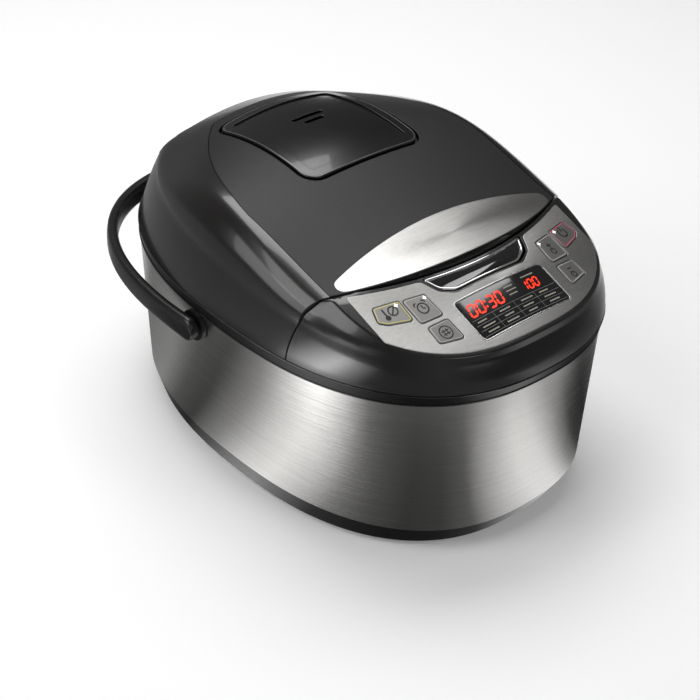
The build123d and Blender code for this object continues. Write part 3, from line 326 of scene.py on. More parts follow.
def spline(xs, ys):
    """Natural cubic through points, as a function."""
    n = len(xs)
    h = np.diff(xs)
    system, right_side = np.eye(n), np.zeros(n)
    for i in range(1, n - 1):
        system[i, i - 1:i + 2] = h[i - 1], 2 * (h[i - 1] + h[i]), h[i]
        right_side[i] = 6 * ((ys[i + 1] - ys[i]) / h[i] - (ys[i] - ys[i - 1]) / h[i - 1])
    m = np.linalg.solve(system, right_side)

    def value(x):
        i = min(max(int(np.searchsorted(xs, x)) - 1, 0), n - 2)
        a, b = xs[i + 1] - x, x - xs[i]
        left, right = ys[i] / h[i] - m[i] * h[i] / 6, ys[i + 1] / h[i] - m[i + 1] * h[i] / 6
        return (m[i] * a ** 3 + m[i + 1] * b ** 3) / (6 * h[i]) + left * a + right * b
    return value


crest_of, groove_of, share_of = (spline(ROOF[:, 0], ROOF[:, i]) for i in (1, 2, 3))


def half_width(reach):
    """Half the lid's width at the shoulder edge, at a distance behind the widest line."""
    side, front, back, power = EDGE_OVAL
    span, bend = (front, power) if reach < 0 else (back, BACK_POWER)
    return side * (1 - min(1, abs(reach) / span) ** bend) ** (1 / bend)


def edge_height(y):
    return EDGE_Z + EDGE_CLIMB * (y - WIDE_Y)


def roof(x, y):
    """Height of the lid's roof: crowned inside the groove, and a quarter round outside it."""
    reach = y - WIDE_Y
    edge_x, crest, groove = half_width(reach), crest_of(reach), groove_of(reach)
    ridge = edge_x * share_of(reach)
    fall = (crest - groove) * CROWN_POWER / ridge
    if abs(x) < ridge:
        return crest - (crest - groove) * (abs(x) / ridge) ** CROWN_POWER
    width = edge_x - ridge
    out = min(1.0, (abs(x) - ridge) / width)
    return groove - fall * width * out - (groove - edge_height(y) - fall * width) * (1 - sqrt(1 - out * out))


def seam_y(x, radius):
    """Front-to-back place of an arc concentric with the seam."""
    return SEAM_Y + SEAM_R - sqrt(radius * radius - x * x)


def meeting(oval, inset, test):
    """Angle in (-90, 90) degrees where an oval's right side crosses from one side of a line to the other."""
    low, high = -pi / 2, pi / 2
    for _ in range(50):
        mid = (low + high) / 2
        if test(*on_oval(oval, mid, inset)):
            high = mid
        else:
            low = mid
    return high


LID_SEAM_R = SEAM_R - SEAM_GAP
SIDE_N, BACK_N, FRONT_N = 110, 40, 80


def behind(x, y):
    return hypot(x, y - SEAM_Y - SEAM_R) < LID_SEAM_R


def lid_loop(oval, inset, height):
    """One level of the lid's outside: right side, flat back, left side, then the seam's arc."""
    first = meeting(oval, inset, behind)
    last = meeting(oval, inset, lambda x, y: y > LID_BACK_Y - inset)
    right_side = [on_oval(oval, first + (last - first) * i / (SIDE_N - 1), inset) for i in range(SIDE_N)]
    corner = right_side[-1][0]
    back = [(corner * (1 - 2 * i / (BACK_N + 1)), LID_BACK_Y - inset) for i in range(1, BACK_N + 1)]
    left_side = [(-x, y) for x, y in reversed(right_side)]
    end = right_side[0][0]
    front = [(-end * (1 - 2 * i / (FRONT_N + 1)), 0) for i in range(1, FRONT_N + 1)]
    front = [(x, seam_y(x, LID_SEAM_R - inset)) for x, _ in front]
    return [(x, y, height(x, y)) for x, y in right_side + back + left_side + front]


def bezier(points, share):
    """Point on a quadratic curve through three control points."""
    a, b, c = (np.array(p, float) for p in points)
    return tuple(a * (1 - share) ** 2 + 2 * b * share * (1 - share) + c * share ** 2)


def groove_path(inset):
    """The top panel's outline, matched point by point to lid_loop."""
    x, back_y = GROOVE_X - inset, GROOVE_BACK_Y - inset
    start = (x, seam_y(x, LID_SEAM_R - inset))
    straight = int(SIDE_N * 0.45)
    right_side = [(x, start[1] + (GROOVE_TURN_Y - start[1]) * i / straight) for i in range(straight)]
    curve = SIDE_N - straight
    bend = [(x, GROOVE_TURN_Y), (x * 0.93, 62 - inset), (GROOVE_BACK_X - inset * 0.5, back_y)]
    right_side += [bezier(bend, i / (curve - 1)) for i in range(curve)]
    corner = right_side[-1][0]
    back = [(corner * (1 - 2 * i / (BACK_N + 1)), back_y) for i in range(1, BACK_N + 1)]
    left_side = [(-px, py) for px, py in reversed(right_side)]
    front = [(-x * (1 - 2 * i / (FRONT_N + 1)), 0) for i in range(1, FRONT_N + 1)]
    return right_side + back + left_side + [(px, seam_y(px, LID_SEAM_R - inset)) for px, _ in front]


gloss = moulded("polished_black_abs", "#171514", 0.2, 0.26, 1.4, 0.02, Coat_Weight=0.4, Coat_Roughness=0.06)

# share of the ring's width from the shoulder edge in to the groove
RING_STEPS = (0.0, 0.004, 0.012, 0.025, 0.045, 0.075, 0.115, 0.17, 0.24, 0.33, 0.43, 0.54, 0.66, 0.78, 0.88, 0.95, 1.0)
BAND_STEPS = 10
LID_WALL, BED_DROP = 2.6, 2.2
edge_loop = lid_loop(EDGE_OVAL, 0.0, lambda x, y: 0)
groove_loop = groove_path(0.0)
side_count = 2 * SIDE_N + BACK_N
loops = [[(x, y, roof(x, y) - BED_DROP) for x, y in groove_path(4.0)],
         [(x, y, roof(x, y) - BED_DROP) for x, y in groove_loop],
         [(x, y, roof(x, y) - 0.5) for x, y in groove_loop]]
for share in reversed(RING_STEPS):
    loop = []
    for (ex, ey, _), (gx, gy) in zip(edge_loop, groove_loop):
        x, y = ex + (gx - ex) * share, ey + (gy - ey) * share
        loop.append((x, y, roof(x, y)))
    loops.append(loop)
for step in range(1, BAND_STEPS + 1):
    down = step / BAND_STEPS
    oval = tuple(e + (g - e) * down for e, g in zip(EDGE_OVAL, GAP_OVAL))
    swell = BAND_BULGE * 4 * down * (1 - down)
    loops.append(lid_loop(oval, -swell, lambda x, y: edge_height(y) + (GAP_Z - edge_height(y)) * down))
loops.append(lid_loop(GAP_OVAL, 0.5, lambda x, y: GAP_Z - 0.4))
loops.append(lid_loop(GAP_OVAL, LID_WALL, lambda x, y: GAP_Z))
loops.append(lid_loop(GAP_OVAL, LID_WALL, lambda x, y: GAP_Z + 6))

# The seam wall and the back wall are flat faces below the roof: their points run evenly down.
total = len(loops)
for k, loop in enumerate(loops):
    for i in range(side_count, len(loop)):
        x = loop[i][0] if k < 3 else groove_loop[i][0] + (loops[-3][i][0] - groove_loop[i][0]) * (k - 2) / (total - 5)
        if 3 <= k < total - 2:
            y = seam_y(x, LID_SEAM_R)
            top_z = roof(groove_loop[i][0], groove_loop[i][1]) - BED_DROP
            loop[i] = (x, y, top_z + (GAP_Z - top_z) * (k - 2) / (total - 5))
    for i in range(SIDE_N, SIDE_N + BACK_N):
        if 3 + len(RING_STEPS) <= k < total - 3:
            x = loop[i][0]
            top_z, down = roof(x, LID_BACK_Y), (k - 2 - len(RING_STEPS)) / BAND_STEPS
            loop[i] = (x, LID_BACK_Y, top_z + (GAP_Z - top_z) * down)
points = [p for loop in loops for p in loop]
mesh_piece("lid_shell_moulding", points, strip_faces(loops), gloss, "lid", ["lid_shell"], "gloss_black_plastic")

# ---- Matte top panel ----
# A separate panel of charcoal ABS lies flush in the lid's bed, held by snaps and a bead of glue.
# It is heavily textured, so it looks grey and dull beside the gloss ring around it.
PANEL_T = 2.0


def offset_loop(outline, inset):
    """A closed outline moved towards its own inside (its left when it runs anticlockwise)."""
    p = np.array(outline, float)
    before, after = p - np.roll(p, 1, axis=0), np.roll(p, -1, axis=0) - p
    before /= np.linalg.norm(before, axis=1)[:, None]
    after /= np.linalg.norm(after, axis=1)[:, None]
    normal = np.stack([-(before[:, 1] + after[:, 1]), before[:, 0] + after[:, 0]], axis=1)
    normal /= np.linalg.norm(normal, axis=1)[:, None]
    lean = np.clip(normal[:, 0] * -before[:, 1] + normal[:, 1] * before[:, 0], 0.5, 1)
    return p + normal * (inset / lean)[:, None]


def rim(outline, top, edge, thick, hole=False):
    """Loops from a plate's upper face over its rounded edge and down its side."""
    way = -1 if hole else 1
    stack = []
    for inset, drop in ((edge + 0.35, 0), (edge, 0), (edge * 0.5, edge * 0.13), (edge * 0.13, edge * 0.5),
                        (0, edge), (0, thick)):
        loop = offset_loop(outline, way * inset)
        stack.append([(x, y, top(x, y) - drop) for x, y in loop])
    return stack


def inside(points, outline):
    """Which plan points lie inside a closed outline."""
    p, q = np.asarray(points, float), np.asarray(outline, float)
    hit = np.zeros(len(p), bool)
    for (x0, y0), (x1, y1) in zip(q, np.roll(q, -1, axis=0)):
        crosses = (y0 > p[:, 1]) != (y1 > p[:, 1])
        hit ^= crosses & (p[:, 0] < (x1 - x0) * (p[:, 1] - y0) / ((y1 - y0) or 1e-9) + x0)
    return hit


def filled(stacks, top, step, thick=0.0):
    """Points and faces of a plate: a triangulated upper face, and quads down each stack of loops.
    The first stack is the outside and the others are holes; thick closes it below."""
    rings = [np.array(stack[0], float)[:, :2] for stack in stacks]
    low, high = rings[0].min(0), rings[0].max(0)
    xs, ys = (np.arange(low[k] + step / 2, high[k], step) for k in (0, 1))
    grid = np.array([(x, y) for x in xs for y in ys] or [rings[0].mean(0)])
    keep = inside(grid, offset_loop(rings[0], step * 0.35))
    for ring in rings[1:]:
        keep &= ~inside(grid, offset_loop(ring, -step * 0.35))
    grid = grid[keep]
    plan = [Vector(p) for ring in rings for p in ring] + [Vector(p) for p in grid]
    edges, at = [], 0
    for ring in rings:
        edges += [(at + i, at + (i + 1) % len(ring)) for i in range(len(ring))]
        at += len(ring)
    out, _, triangles, origin, _, _ = delaunay_2d_cdt(plan, edges, [], 0, 1e-5)
    centres = np.array([np.mean([out[i] for i in t], axis=0) for t in triangles])
    good = inside(centres, rings[0])
    for ring in rings[1:]:
        good &= ~inside(centres, ring)
    points, slot_of = [], {}
    for i, (p, sources) in enumerate(zip(out, origin)):
        for source in sources:
            slot_of[source] = i
        points.append((p[0], p[1], top(p[0], p[1])))
    faces = [tuple(t) for t, ok in zip(triangles, good) if ok]
    below = len(points)
    if thick:
        points += [(x, y, z - thick) for x, y, z in points]
        faces += [tuple(i + below for i in reversed(t)) for t in faces]
    at = 0
    for stack, ring in zip(stacks, rings):
        count = len(ring)
        rows = [[slot_of[at + i] for i in range(count)]]
        for loop in stack[1:]:
            rows.append(list(range(len(points), len(points) + count)))
            points += list(loop)
        if thick:
            rows.append([i + below for i in rows[0]])
        for a, b in zip(rows, rows[1:]):
            faces += [(a[i], b[i], b[(i + 1) % count], a[(i + 1) % count]) for i in range(count)]
        at += count
    used = sorted({i for f in faces for i in f})
    new = {old: i for i, old in enumerate(used)}
    return [points[i] for i in used], [tuple(new[i] for i in f) for f in faces]


def plate(name, outline, holes, top, thick, edge, step, *facts):
    """A plate with rounded edges that follows a surface; facts go on to mesh_piece."""
    stacks = [rim(outline, top, edge, thick)] + [rim(hole, top, edge, thick, True) for hole in holes]
    points, faces = filled(stacks, top, step, thick)
    return mesh_piece(name, points, faces, *facts)


def anticlockwise(outline):
    """The same outline, turned round if it runs clockwise."""
    p = np.array(outline, float)
    area = np.sum(p[:, 0] * np.roll(p[:, 1], -1) - np.roll(p[:, 0], -1) * p[:, 1])
    return p if area > 0 else p[::-1]


def rounded(corners, radius, arc=6, spacing=4.0):
    """A closed outline through corners, each rounded, with points along the straight sides."""
    c = [np.array(p, float) for p in corners]
    outline = []
    for i, here in enumerate(c):
        back_way, on_way = c[i - 1] - here, c[(i + 1) % len(c)] - here
        back_way, on_way = back_way / np.linalg.norm(back_way), on_way / np.linalg.norm(on_way)
        half_angle = np.arccos(np.clip(back_way @ on_way, -1, 1)) / 2
        reach = radius / np.tan(half_angle)
        middle = here + (back_way + on_way) / np.linalg.norm(back_way + on_way) * radius / sin(half_angle)
        a, b = here + back_way * reach - middle, here + on_way * reach - middle
        sweep = np.arccos(np.clip(a @ b / radius ** 2, -1, 1))
        for k in range(arc + 1):
            share = k / arc
            outline.append(middle + (a * sin((1 - share) * sweep) + b * sin(share * sweep)) / sin(sweep))
    full = []
    for i, here in enumerate(outline):
        there = outline[(i + 1) % len(outline)]
        count = max(1, int(np.linalg.norm(there - here) // spacing))
        full += [here + (there - here) * k / count for k in range(count)]
    return anticlockwise(full)


VENT_X, VENT_Y, VENT_R, VENT_GROOVE = 57.0, (-11.0, 99.0), 13.0, 2.5


def vent_outline(grow):
    x, y0, y1 = VENT_X + grow, VENT_Y[0] - grow, VENT_Y[1] + grow
    return rounded([(-x, y0), (x, y0), (x, y1), (-x, y1)], VENT_R + grow, 10)


charcoal = moulded("heavy_textured_charcoal_abs", "#0c0c0c", 0.48, 0.6, 0.8, 0.35)
panel_outline = anticlockwise(groove_path(0.35))
plate("lid_top_panel_moulding", panel_outline, [vent_outline(VENT_GROOVE)], roof, PANEL_T, 0.5, 5.0,
      charcoal, "lid", ["lid_top_panel"], "matte_charcoal_plastic")

# ---- Trim plate ----
# The arched plate in front is thin aluminium, brushed from side to side, silver anodised, and glued
# into the top panel. The maker's lettering on the real one is left off.
TRIM_DEPTH, TRIM_HALF_X, TRIM_R, TRIM_PROUD = 45.0, 107.0, 520.0, 0.3

silver, tree, shader = new_finish("side_brushed_silver_aluminium", Metallic=1.0, Anisotropic=0.5)
place = add(tree, "ShaderNodeTexCoord")
brush_scale = [1 / (size * MM) for size in (40, 0.5, 0.5)]     # a real 0.05 mm grain is too fine to show
stretch = add(tree, "ShaderNodeMapping", {"Scale": brush_scale}, {"Vector": place.outputs["Object"]})
grain = add(tree, "ShaderNodeTexNoise", {"Scale": 1.0, "Detail": 5.0, "Roughness": 0.6},
            {"Vector": stretch.outputs[0]})
between(tree, shader, grain.outputs["Fac"], "#a3a2a0", "#bdbcba", 0.3, 0.72)
by_grain(tree, shader, grain.outputs["Fac"], 0.28, 0.44, 0.1, 0.05)


def trim_back(x):
    return SEAM_Y + TRIM_DEPTH - TRIM_R + sqrt(TRIM_R ** 2 - x * x)


def trim_front(x):
    return seam_y(x, LID_SEAM_R - 0.9)


xs = np.linspace(-TRIM_HALF_X, TRIM_HALF_X, 61)
front_line, back_line = [(x, trim_front(x)) for x in xs], [(x, trim_back(x)) for x in reversed(xs)]


def soft_corners(outline, corner):
    """Rounds an outline by drawing each point towards its neighbours' mean where the turn is sharp."""
    p = np.array(outline, float)
    fine = []
    for i in range(len(p)):
        a, b = p[i], p[(i + 1) % len(p)]
        count = max(1, int(np.linalg.norm(b - a) // 1.2))
        fine += [a + (b - a) * k / count for k in range(count)]
    fine = np.array(fine)
    for _ in range(corner):
        fine = (np.roll(fine, 1, axis=0) + 2 * fine + np.roll(fine, -1, axis=0)) / 4
    return anticlockwise(fine)


trim_outline = soft_corners(front_line + back_line, 14)
plate("trim_plate_sheet", trim_outline, [], lambda x, y: roof(x, y) + TRIM_PROUD, 1.2, 0.3, 5.0,
      silver, "lid", ["trim_plate"], "silver_panel")

# ---- Steam vent cover ----
# The cover over the steam outlet lifts off for washing. It is satin black, with a raised frame round
# a sunk field that has two short slots for the steam.
FRAME_W, FIELD_SINK, COVER_RISE, COVER_T = 9.0, 1.3, 0.6, 3.0


def cover_top(x, y):
    return roof(x, y) + COVER_RISE


def field_top(x, y):
    return roof(x, y) + COVER_RISE - FIELD_SINK


cover_black = moulded("semi_gloss_black_abs", "#111111", 0.18, 0.26, 0.9, 0.05, Coat_Weight=0.3)
frame_outer, frame_inner = vent_outline(0), vent_outline(-FRAME_W)
frame_stacks = [rim(frame_outer, cover_top, 0.7, COVER_T), rim(frame_inner, cover_top, 0.3, FIELD_SINK + 0.8, True)]
points, faces = filled(frame_stacks, cover_top, 3.0)
mid_y = (VENT_Y[0] + VENT_Y[1]) / 2
slots = [rounded([(-half, y - 2.0), (half, y - 2.0), (half, y + 2.0), (-half, y + 2.0)], 1.9, 6, 3)
         for half, y in ((15, mid_y + 14), (9.5, mid_y + 6))]
field_outline = vent_outline(-FRAME_W + 0.3)
field_stacks = [rim(field_outline, field_top, 0.1, 1.4)] + [rim(s, field_top, 0.35, 1.4, True) for s in slots]
field = filled(field_stacks, field_top, 4.0, 1.4)
faces += [tuple(i + len(points) for i in f) for f in field[1]]
points += field[0]
mesh_piece("steam_vent_cover", points, faces, cover_black, "vent_cover", ["vent_cover"], "satin_black_plastic")
# The lip is a thin raised ring just inside the cover's outer edge. Its grey colour, much lighter than the black cover,
# is a painted highlight: it stands for the line of light that the rounded edge catches.
painted_highlight_lip = moulded("painted_highlight_grey_abs_edge", "#5a5957", 0.12, 0.2, 1.0, 0.02, Coat_Weight=0.5)
plate("vent_cover_lip", vent_outline(-0.9), [vent_outline(-1.6)], lambda x, y: cover_top(x, y) + 0.15,
      0.6, 0.2, 4.0, painted_highlight_lip, "vent_cover", [], "satin_black_plastic")

# ---- Console ----
# The fixed console is gloss black ABS, screwed down through the top ring. A thin silver panel lies
# on its slope, and its front band carries on the lid's.
CONSOLE_Z, CONSOLE_REF_Y, CONSOLE_SLOPE, CONSOLE_CROWN = 186.5, -152.4, 0.37, 746.0
CONSOLE_WALL, CONSOLE_N, SEAM_N = 2.6, 180, 70
SLOPE_IN, SLOPE_UP, SLOPE_LEAN = 2.2, 7.0, 0.81
CORNER_X, CORNER_Y, CORNER_CLIMB = 100, -125, 0.55     # where and how the back corners are held down
SETTLE_STEPS, SETTLE_SHARE = 30, 0.7


def console_top(x, y, drop=0.0):
    """Height of the console's slope, held down at its two back corners to stay flush with the lid."""
    lean = cos(atan(CONSOLE_SLOPE))
    slope = CONSOLE_Z + CONSOLE_SLOPE * (y - CONSOLE_REF_Y) - x * x / (2 * CONSOLE_CROWN * lean)
    if abs(x) > CORNER_X and y > CORNER_Y:
        slope = min(slope, roof(x, y) + CORNER_CLIMB * max(0, seam_y(x, SEAM_R) - y))
    return slope - drop / lean


def ahead(x, y):
    return hypot(x, y - SEAM_Y - SEAM_R) < SEAM_R


def console_loop(oval, inset, height, fraction):
    """One level of the console: left end of the seam round the front to its right end, then the seam."""
    end = meeting(oval, inset, ahead)
    angles = [-pi - end + (2 * end + pi) * i / (CONSOLE_N - 1) for i in range(CONSOLE_N)]
    loop = [(x, y, height(y)) for x, y in (on_oval(oval, a, inset) for a in angles)]
    x_end = loop[-1][0]
    for i in range(1, SEAM_N + 1):
        x = x_end * (1 - 2 * i / (SEAM_N + 1))
        y = seam_y(x, SEAM_R)
        loop.append((x, y, console_top(x, y) * (1 - fraction) + GAP_Z * fraction))
    return loop


def column_angles(inset):
    """Angles of the console's columns, from one end of the seam round the front to the other."""
    end = meeting(EDGE_OVAL, inset, ahead)
    return np.linspace(-pi - end, end, CONSOLE_N)


def margin():
    """Each column's rise on the slope, from the shoulder edge to the console's top."""
    rises = []
    for a in column_angles(0.0):
        rise = 1.0
        for _ in range(SETTLE_STEPS):
            x, y = on_oval(EDGE_OVAL, a, slope_inset(rise))
            rise += (console_top(x, y) - edge_height(y) - rise) * SETTLE_SHARE
        rises.append(rise)
    return rises


def slope_inset(rise):
    return SLOPE_IN * rise / SLOPE_UP if rise < SLOPE_UP else SLOPE_IN + (rise - SLOPE_UP) * SLOPE_LEAN


full_rise = margin()


def slope_loop(share, extra, drop, fraction):
    """A loop on the console's slope, at a share of each column's own rise, moved in by extra."""
    loop = []
    for a in column_angles(slope_inset(full_rise[0] * share) + extra):
        rise = float(np.interp(a, column_angles(0.0), full_rise)) * share
        x, y = on_oval(EDGE_OVAL, a, slope_inset(rise) + extra)
        y = min(y, seam_y(x, SEAM_R))
        z = console_top(x, y) - drop if share == 1 else min(edge_height(y) + rise, console_top(x, y))
        loop.append((x, y, z))
    for k in (0, -1):      # the ends stay on the seam's arc
        x, _, z = loop[k]
        loop[k] = (x, seam_y(x, SEAM_R), z)
    x_end = loop[-1][0]
    for i in range(1, SEAM_N + 1):
        x = x_end * (1 - 2 * i / (SEAM_N + 1))
        y = seam_y(x, SEAM_R) - (extra if share == 1 else 0)
        loop.append((x, y, console_top(x, y) * (1 - fraction) + GAP_Z * fraction))
    return loop


BUTTON_HALF_X, BUTTON_DEPTH = 50.0, 15.0


def button_outline(grow, seam_gap):
    """Boat-shaped outline of the release button, bounded behind by the seam's arc."""
    half, front_y = BUTTON_HALF_X + grow, SEAM_Y - BUTTON_DEPTH - grow
    arc_xs = np.linspace(half, -half, 31)
    back_line = [(x, seam_y(x, SEAM_R + seam_gap)) for x in arc_xs]
    bow = [(-half + 6, front_y + 6), (-half + 18, front_y), (half - 18, front_y), (half - 6, front_y + 6)]
    return soft_corners(back_line + bow, 6)


console_stack = [
    slope_loop(1, 1.6, 0, 0.0),
    slope_loop(1, 1.0, 0, 0.0),
    slope_loop(1, 0.35, 0.1, 0.0),
]
for share, fraction in ((0.93, 0.03), (0.8, 0.08), (0.6, 0.14), (0.4, 0.2), (0.2, 0.25), (0.08, 0.28),
                        (0.0, 0.3)):
    console_stack.append(slope_loop(share, 0, 0, fraction))
for step in range(1, BAND_STEPS + 1):
    down = step / BAND_STEPS
    oval = tuple(e + (g - e) * down for e, g in zip(EDGE_OVAL, GAP_OVAL))
    swell = BAND_BULGE * 4 * down * (1 - down)
    console_stack.append(console_loop(oval, -swell, lambda y: edge_height(y) + (GAP_Z - edge_height(y)) * down,
                                      0.3 + 0.7 * down))
console_stack.append(console_loop(GAP_OVAL, CONSOLE_WALL, lambda y: GAP_Z, 1.0))

DISPLAY_HALF_X, DISPLAY_Y, DISPLAY_R = 45.0, (-183.0, -148.0), 4.0


def display_outline(grow):
    x, y0, y1 = DISPLAY_HALF_X + grow, DISPLAY_Y[0] - grow, DISPLAY_Y[1] + grow
    return rounded([(-x, y0), (x, y0), (x, y1), (-x, y1)], DISPLAY_R + grow, 6)


KEY_CORNERS = {
    "back": ((-10, -11), (9.8, -9), (9.5, 12), (-9, 8.5)),
    "front": ((-9.5, -10), (10.2, -5), (9.2, 9), (-9, 8)),
    "outer": ((-10.2, -13.3), (8, -7), (13.4, -2), (9.4, 9), (-11.4, 4.3)),
}
KEYS = {
    "key_cancel": (-88.5, -132.0, -1, "outer"), "key_timer": (-66.0, -141.0, -1, "back"),
    "key_menu": (-65.0, -163.5, -1, "front"), "key_start": (88.5, -132.0, 1, "outer"),
    "key_hour": (66.0, -141.0, 1, "back"), "key_minute": (65.0, -163.5, 1, "front"),
}


def key_outline(name, grow):
    x, y, hand, shape = KEYS[name]
    outline = rounded([(x + hand * px, y + py) for px, py in KEY_CORNERS[shape]], 2.4, 5, 3.0)
    return offset_loop(outline, -grow) if grow else outline


recess = button_outline(1.0, 0.7)
holes = [display_outline(0.1)] + [key_outline(name, 0.4) for name in KEYS] + [recess]
stacks = [console_stack] + [rim(hole, console_top, 0.2, 4.0, True) for hole in holes]
points, faces = filled(stacks, console_top, 6.0)
mesh_piece("console_moulding", points, faces, gloss, "base", ["console_housing"], "gloss_black_plastic")

# ---- Silver console panel ----
# The panel is the same brushed and anodised aluminium as the trim plate, blanked with openings for
# the window, the keys and the release button, and glued to the console.
PANEL_HALF_X, PANEL_EDGE, PANEL_SEAM, PANEL_PROUD = 108.0, 3.0, 3.0, 0.25
front_points = [on_oval(EDGE_OVAL, a, PANEL_EDGE + 1.2) for a in np.linspace(-pi, 0, 241)]
front_points = [(x, y) for x, y in front_points
                if abs(x) <= PANEL_HALF_X and hypot(x, y - SEAM_Y - SEAM_R) > SEAM_R + PANEL_SEAM + 0.5]
end_x = front_points[-1][0]
seam_points = [(x, seam_y(x, SEAM_R + PANEL_SEAM)) for x in np.linspace(end_x, -end_x, 81)]
notch_half, notch_y = BUTTON_HALF_X + 2.4, SEAM_Y - BUTTON_DEPTH - 2.4
notch = [(notch_half, seam_y(notch_half, SEAM_R + PANEL_SEAM)), (notch_half - 6, notch_y + 7),
         (notch_half - 18, notch_y)]
notch += [(-x, y) for x, y in reversed(notch)]
right_part, left_part = ([p for p in seam_points if p[0] * hand > notch_half + 1] for hand in (1, -1))
seam_points = right_part + notch + left_part
sheet_outline = soft_corners(front_points + seam_points, 5)
sheet_holes = [display_outline(0.3)] + [key_outline(name, 0.45) for name in KEYS]
plate("console_panel_sheet", sheet_outline, sheet_holes, lambda x, y: console_top(x, y) + PANEL_PROUD, 1.0, 0.25, 5.0,
      silver, "base", ["console_panel"], "silver_panel")

# ---- Display window ----
# A smoked acrylic window is let into the panel, with a thin bright bezel moulded round it. The
# digits behind it are red seven-segment lamps, and a fine printed grid names the programmes.
smoked = moulded("smoked_acrylic_window", "#050505", 0.05, 0.08, 2.0, 0.01, Coat_Weight=1.0, Coat_Roughness=0.03)
plate("display_window_pane", display_outline(-0.9), [], lambda x, y: console_top(x, y) + 0.15, 1.6, 0.3, 5.0,
      smoked, "base", ["display_window"], "display_glass")



def plated(name, code, haze_mm, low, high):
    """Bright plating, with a faint haze that varies its roughness."""
    material, tree, shader = new_finish(name, Metallic=1.0)
    shader.inputs["Base Color"].default_value = linear(code)
    place = add(tree, "ShaderNodeTexCoord")
    haze = add(tree, "ShaderNodeTexNoise", {"Scale": 1 / (haze_mm * MM), "Detail": 2.0},
               {"Vector": place.outputs["Object"]})
    rough = add(tree, "ShaderNodeMapRange", {"To Min": low, "To Max": high}, {"Value": haze.outputs["Fac"]})
    tree.links.new(rough.outputs[0], shader.inputs["Roughness"])
    return material


bright = plated("satin_nickel_plate", "#c9c8c6", 3, 0.15, 0.28)


def ring_plate(name, outline, width, top, thick, edge, *facts):
    """A narrow closed frame that follows an outline."""
    inner = offset_loop(outline, width)
    points, faces = filled([rim(outline, top, edge, thick), rim(inner, top, edge, thick, True)], top, width * 8, thick)
    return mesh_piece(name, points, faces, *facts)


ring_plate("display_bezel", display_outline(0.35), 1.15, lambda x, y: console_top(x, y) + 0.5, 1.2, 0.2,
           bright, "base", [], "chromed_plastic")


def glowing(name, code, strength):
    """A lamp's lit diffuser: its colour, and how brightly it shines."""
    material, tree, shader = new_finish(name, Roughness=0.3)
    shader.inputs["Base Color"].default_value = linear(code)
    shader.inputs["Emission Color"].default_value = linear(code)
    shader.inputs["Emission Strength"].default_value = strength
    return material


def marks(name, quads, lift, material, body, slot, top=console_top):
    """Thin printed or lit marks: flat prisms 0.08 mm thick on a surface, each a closed outline."""
    points, faces = [], []
    for quad in quads:
        n, at = len(quad), len(points)
        quad = anticlockwise(quad)
        points += [(x, y, top(x, y) + lift) for x, y in quad] + [(x, y, top(x, y) + lift - 0.08) for x, y in quad]
        faces += [tuple(range(at, at + n)), tuple(reversed(range(at + n, at + 2 * n)))]
        faces += [(at + i, at + n + i, at + n + (i + 1) % n, at + (i + 1) % n) for i in range(n)]
    return mesh_piece(name, points, faces, material, body, [], slot)


def bar(x0, y0, x1, y1, width):
    """A straight stroke from one point to another, as a four-cornered outline."""
    a, b = np.array((x0, y0), float), np.array((x1, y1), float)
    side = np.array((-(b - a)[1], (b - a)[0])) / np.linalg.norm(b - a) * width / 2
    return [a - side, b - side, b + side, a + side]


SEGMENTS = {"0": "abcdef", "1": "bc", "3": "abcdg"}


def digit(symbol, x, y, w, h, stroke):
    """Seven-segment figure whose lower left corner is at x, y."""
    gap, m = 0.25, y + h / 2
    lines = {"a": (x + gap, y + h, x + w - gap, y + h), "g": (x + gap, m, x + w - gap, m),
             "d": (x + gap, y, x + w - gap, y), "f": (x, m + gap, x, y + h - gap), "b": (x + w, m + gap, x + w, y + h - gap),
             "e": (x, y + gap, x, m - gap), "c": (x + w, y + gap, x + w, m - gap)}
    strokes = []
    for name in SEGMENTS[symbol]:
        x0, y0, x1, y1 = lines[name]
        a, b = np.array((x0, y0), float), np.array((x1, y1), float)
        along = (b - a) / np.linalg.norm(b - a)
        side = np.array((-along[1], along[0])) * stroke / 2
        nose = along * stroke / 2
        strokes.append([a, a + nose - side, b - nose - side, b, b - nose + side, a + nose + side])
    return strokes


def slanted(outline, base_y):
    return [(x + (y - base_y) * 0.22, y) for x, y in outline]


strokes = []
for symbol, x in zip("0030", (-39.0, -30.9, -20.3, -12.2)):
    strokes += [slanted(s, -164.0) for s in digit(symbol, x, -164.0, 5.4, 9.0, 1.35)]
strokes += [slanted(bar(-22.9, y - 0.7, -22.9, y + 0.7, 1.4), -164.0) for y in (-161.6, -157.4)]
for symbol, x in zip("100", (14.6, 20.6, 26.4)):
    strokes += [slanted(s, -163.6) for s in digit(symbol, x, -163.6, 3.9, 7.0, 1.1)]
marks("display_digits", strokes, 0.32, glowing("red_segment_lamp", "#ff2e0c", 1.2), "base", "display_glass")

cells = []
for row in range(4):
    y = -166.5 - row * 4.6
    cells += [bar(x, y, x + 6.1, y, 0.2) for x in np.arange(-42.0, 40.0, 6.0)]
for x in (-22.5, -1.5, 19.5):
    cells.append(bar(x, -166.5, x, -180.3, 0.2))
words = []
for row in range(3):
    for column in range(4):
        x, y = -39.0 + column * 21.0 + (row + column) % 3, -168.9 - row * 4.6
        words += [bar(x + k * 1.5, y, x + k * 1.5 + 1.1, y, 0.9) for k in range(6 + (row * 2 + column) % 3)]
for row in range(3):
    y = -155.0 - row * 3.2
    words += [bar(0.5 + k * 1.4, y, 1.5 + k * 1.4, y, 0.8) for k in range(6 + row % 2)]
words += [bar(20.0 + k * 1.4, -153.2, 21.0 + k * 1.4, -153.2, 0.8) for k in range(9)]
print_grey = moulded("grey_screen_print", "#8a8a8a", 0.4, 0.5, 1.0, 0.02)
marks("display_grid", cells, 0.31, print_grey, "base", "display_glass")
print_white = moulded("white_screen_print", "#b9b4a6", 0.4, 0.5, 1.0, 0.02)
marks("display_word_marks", words, 0.31, print_white, "base", "display_glass")

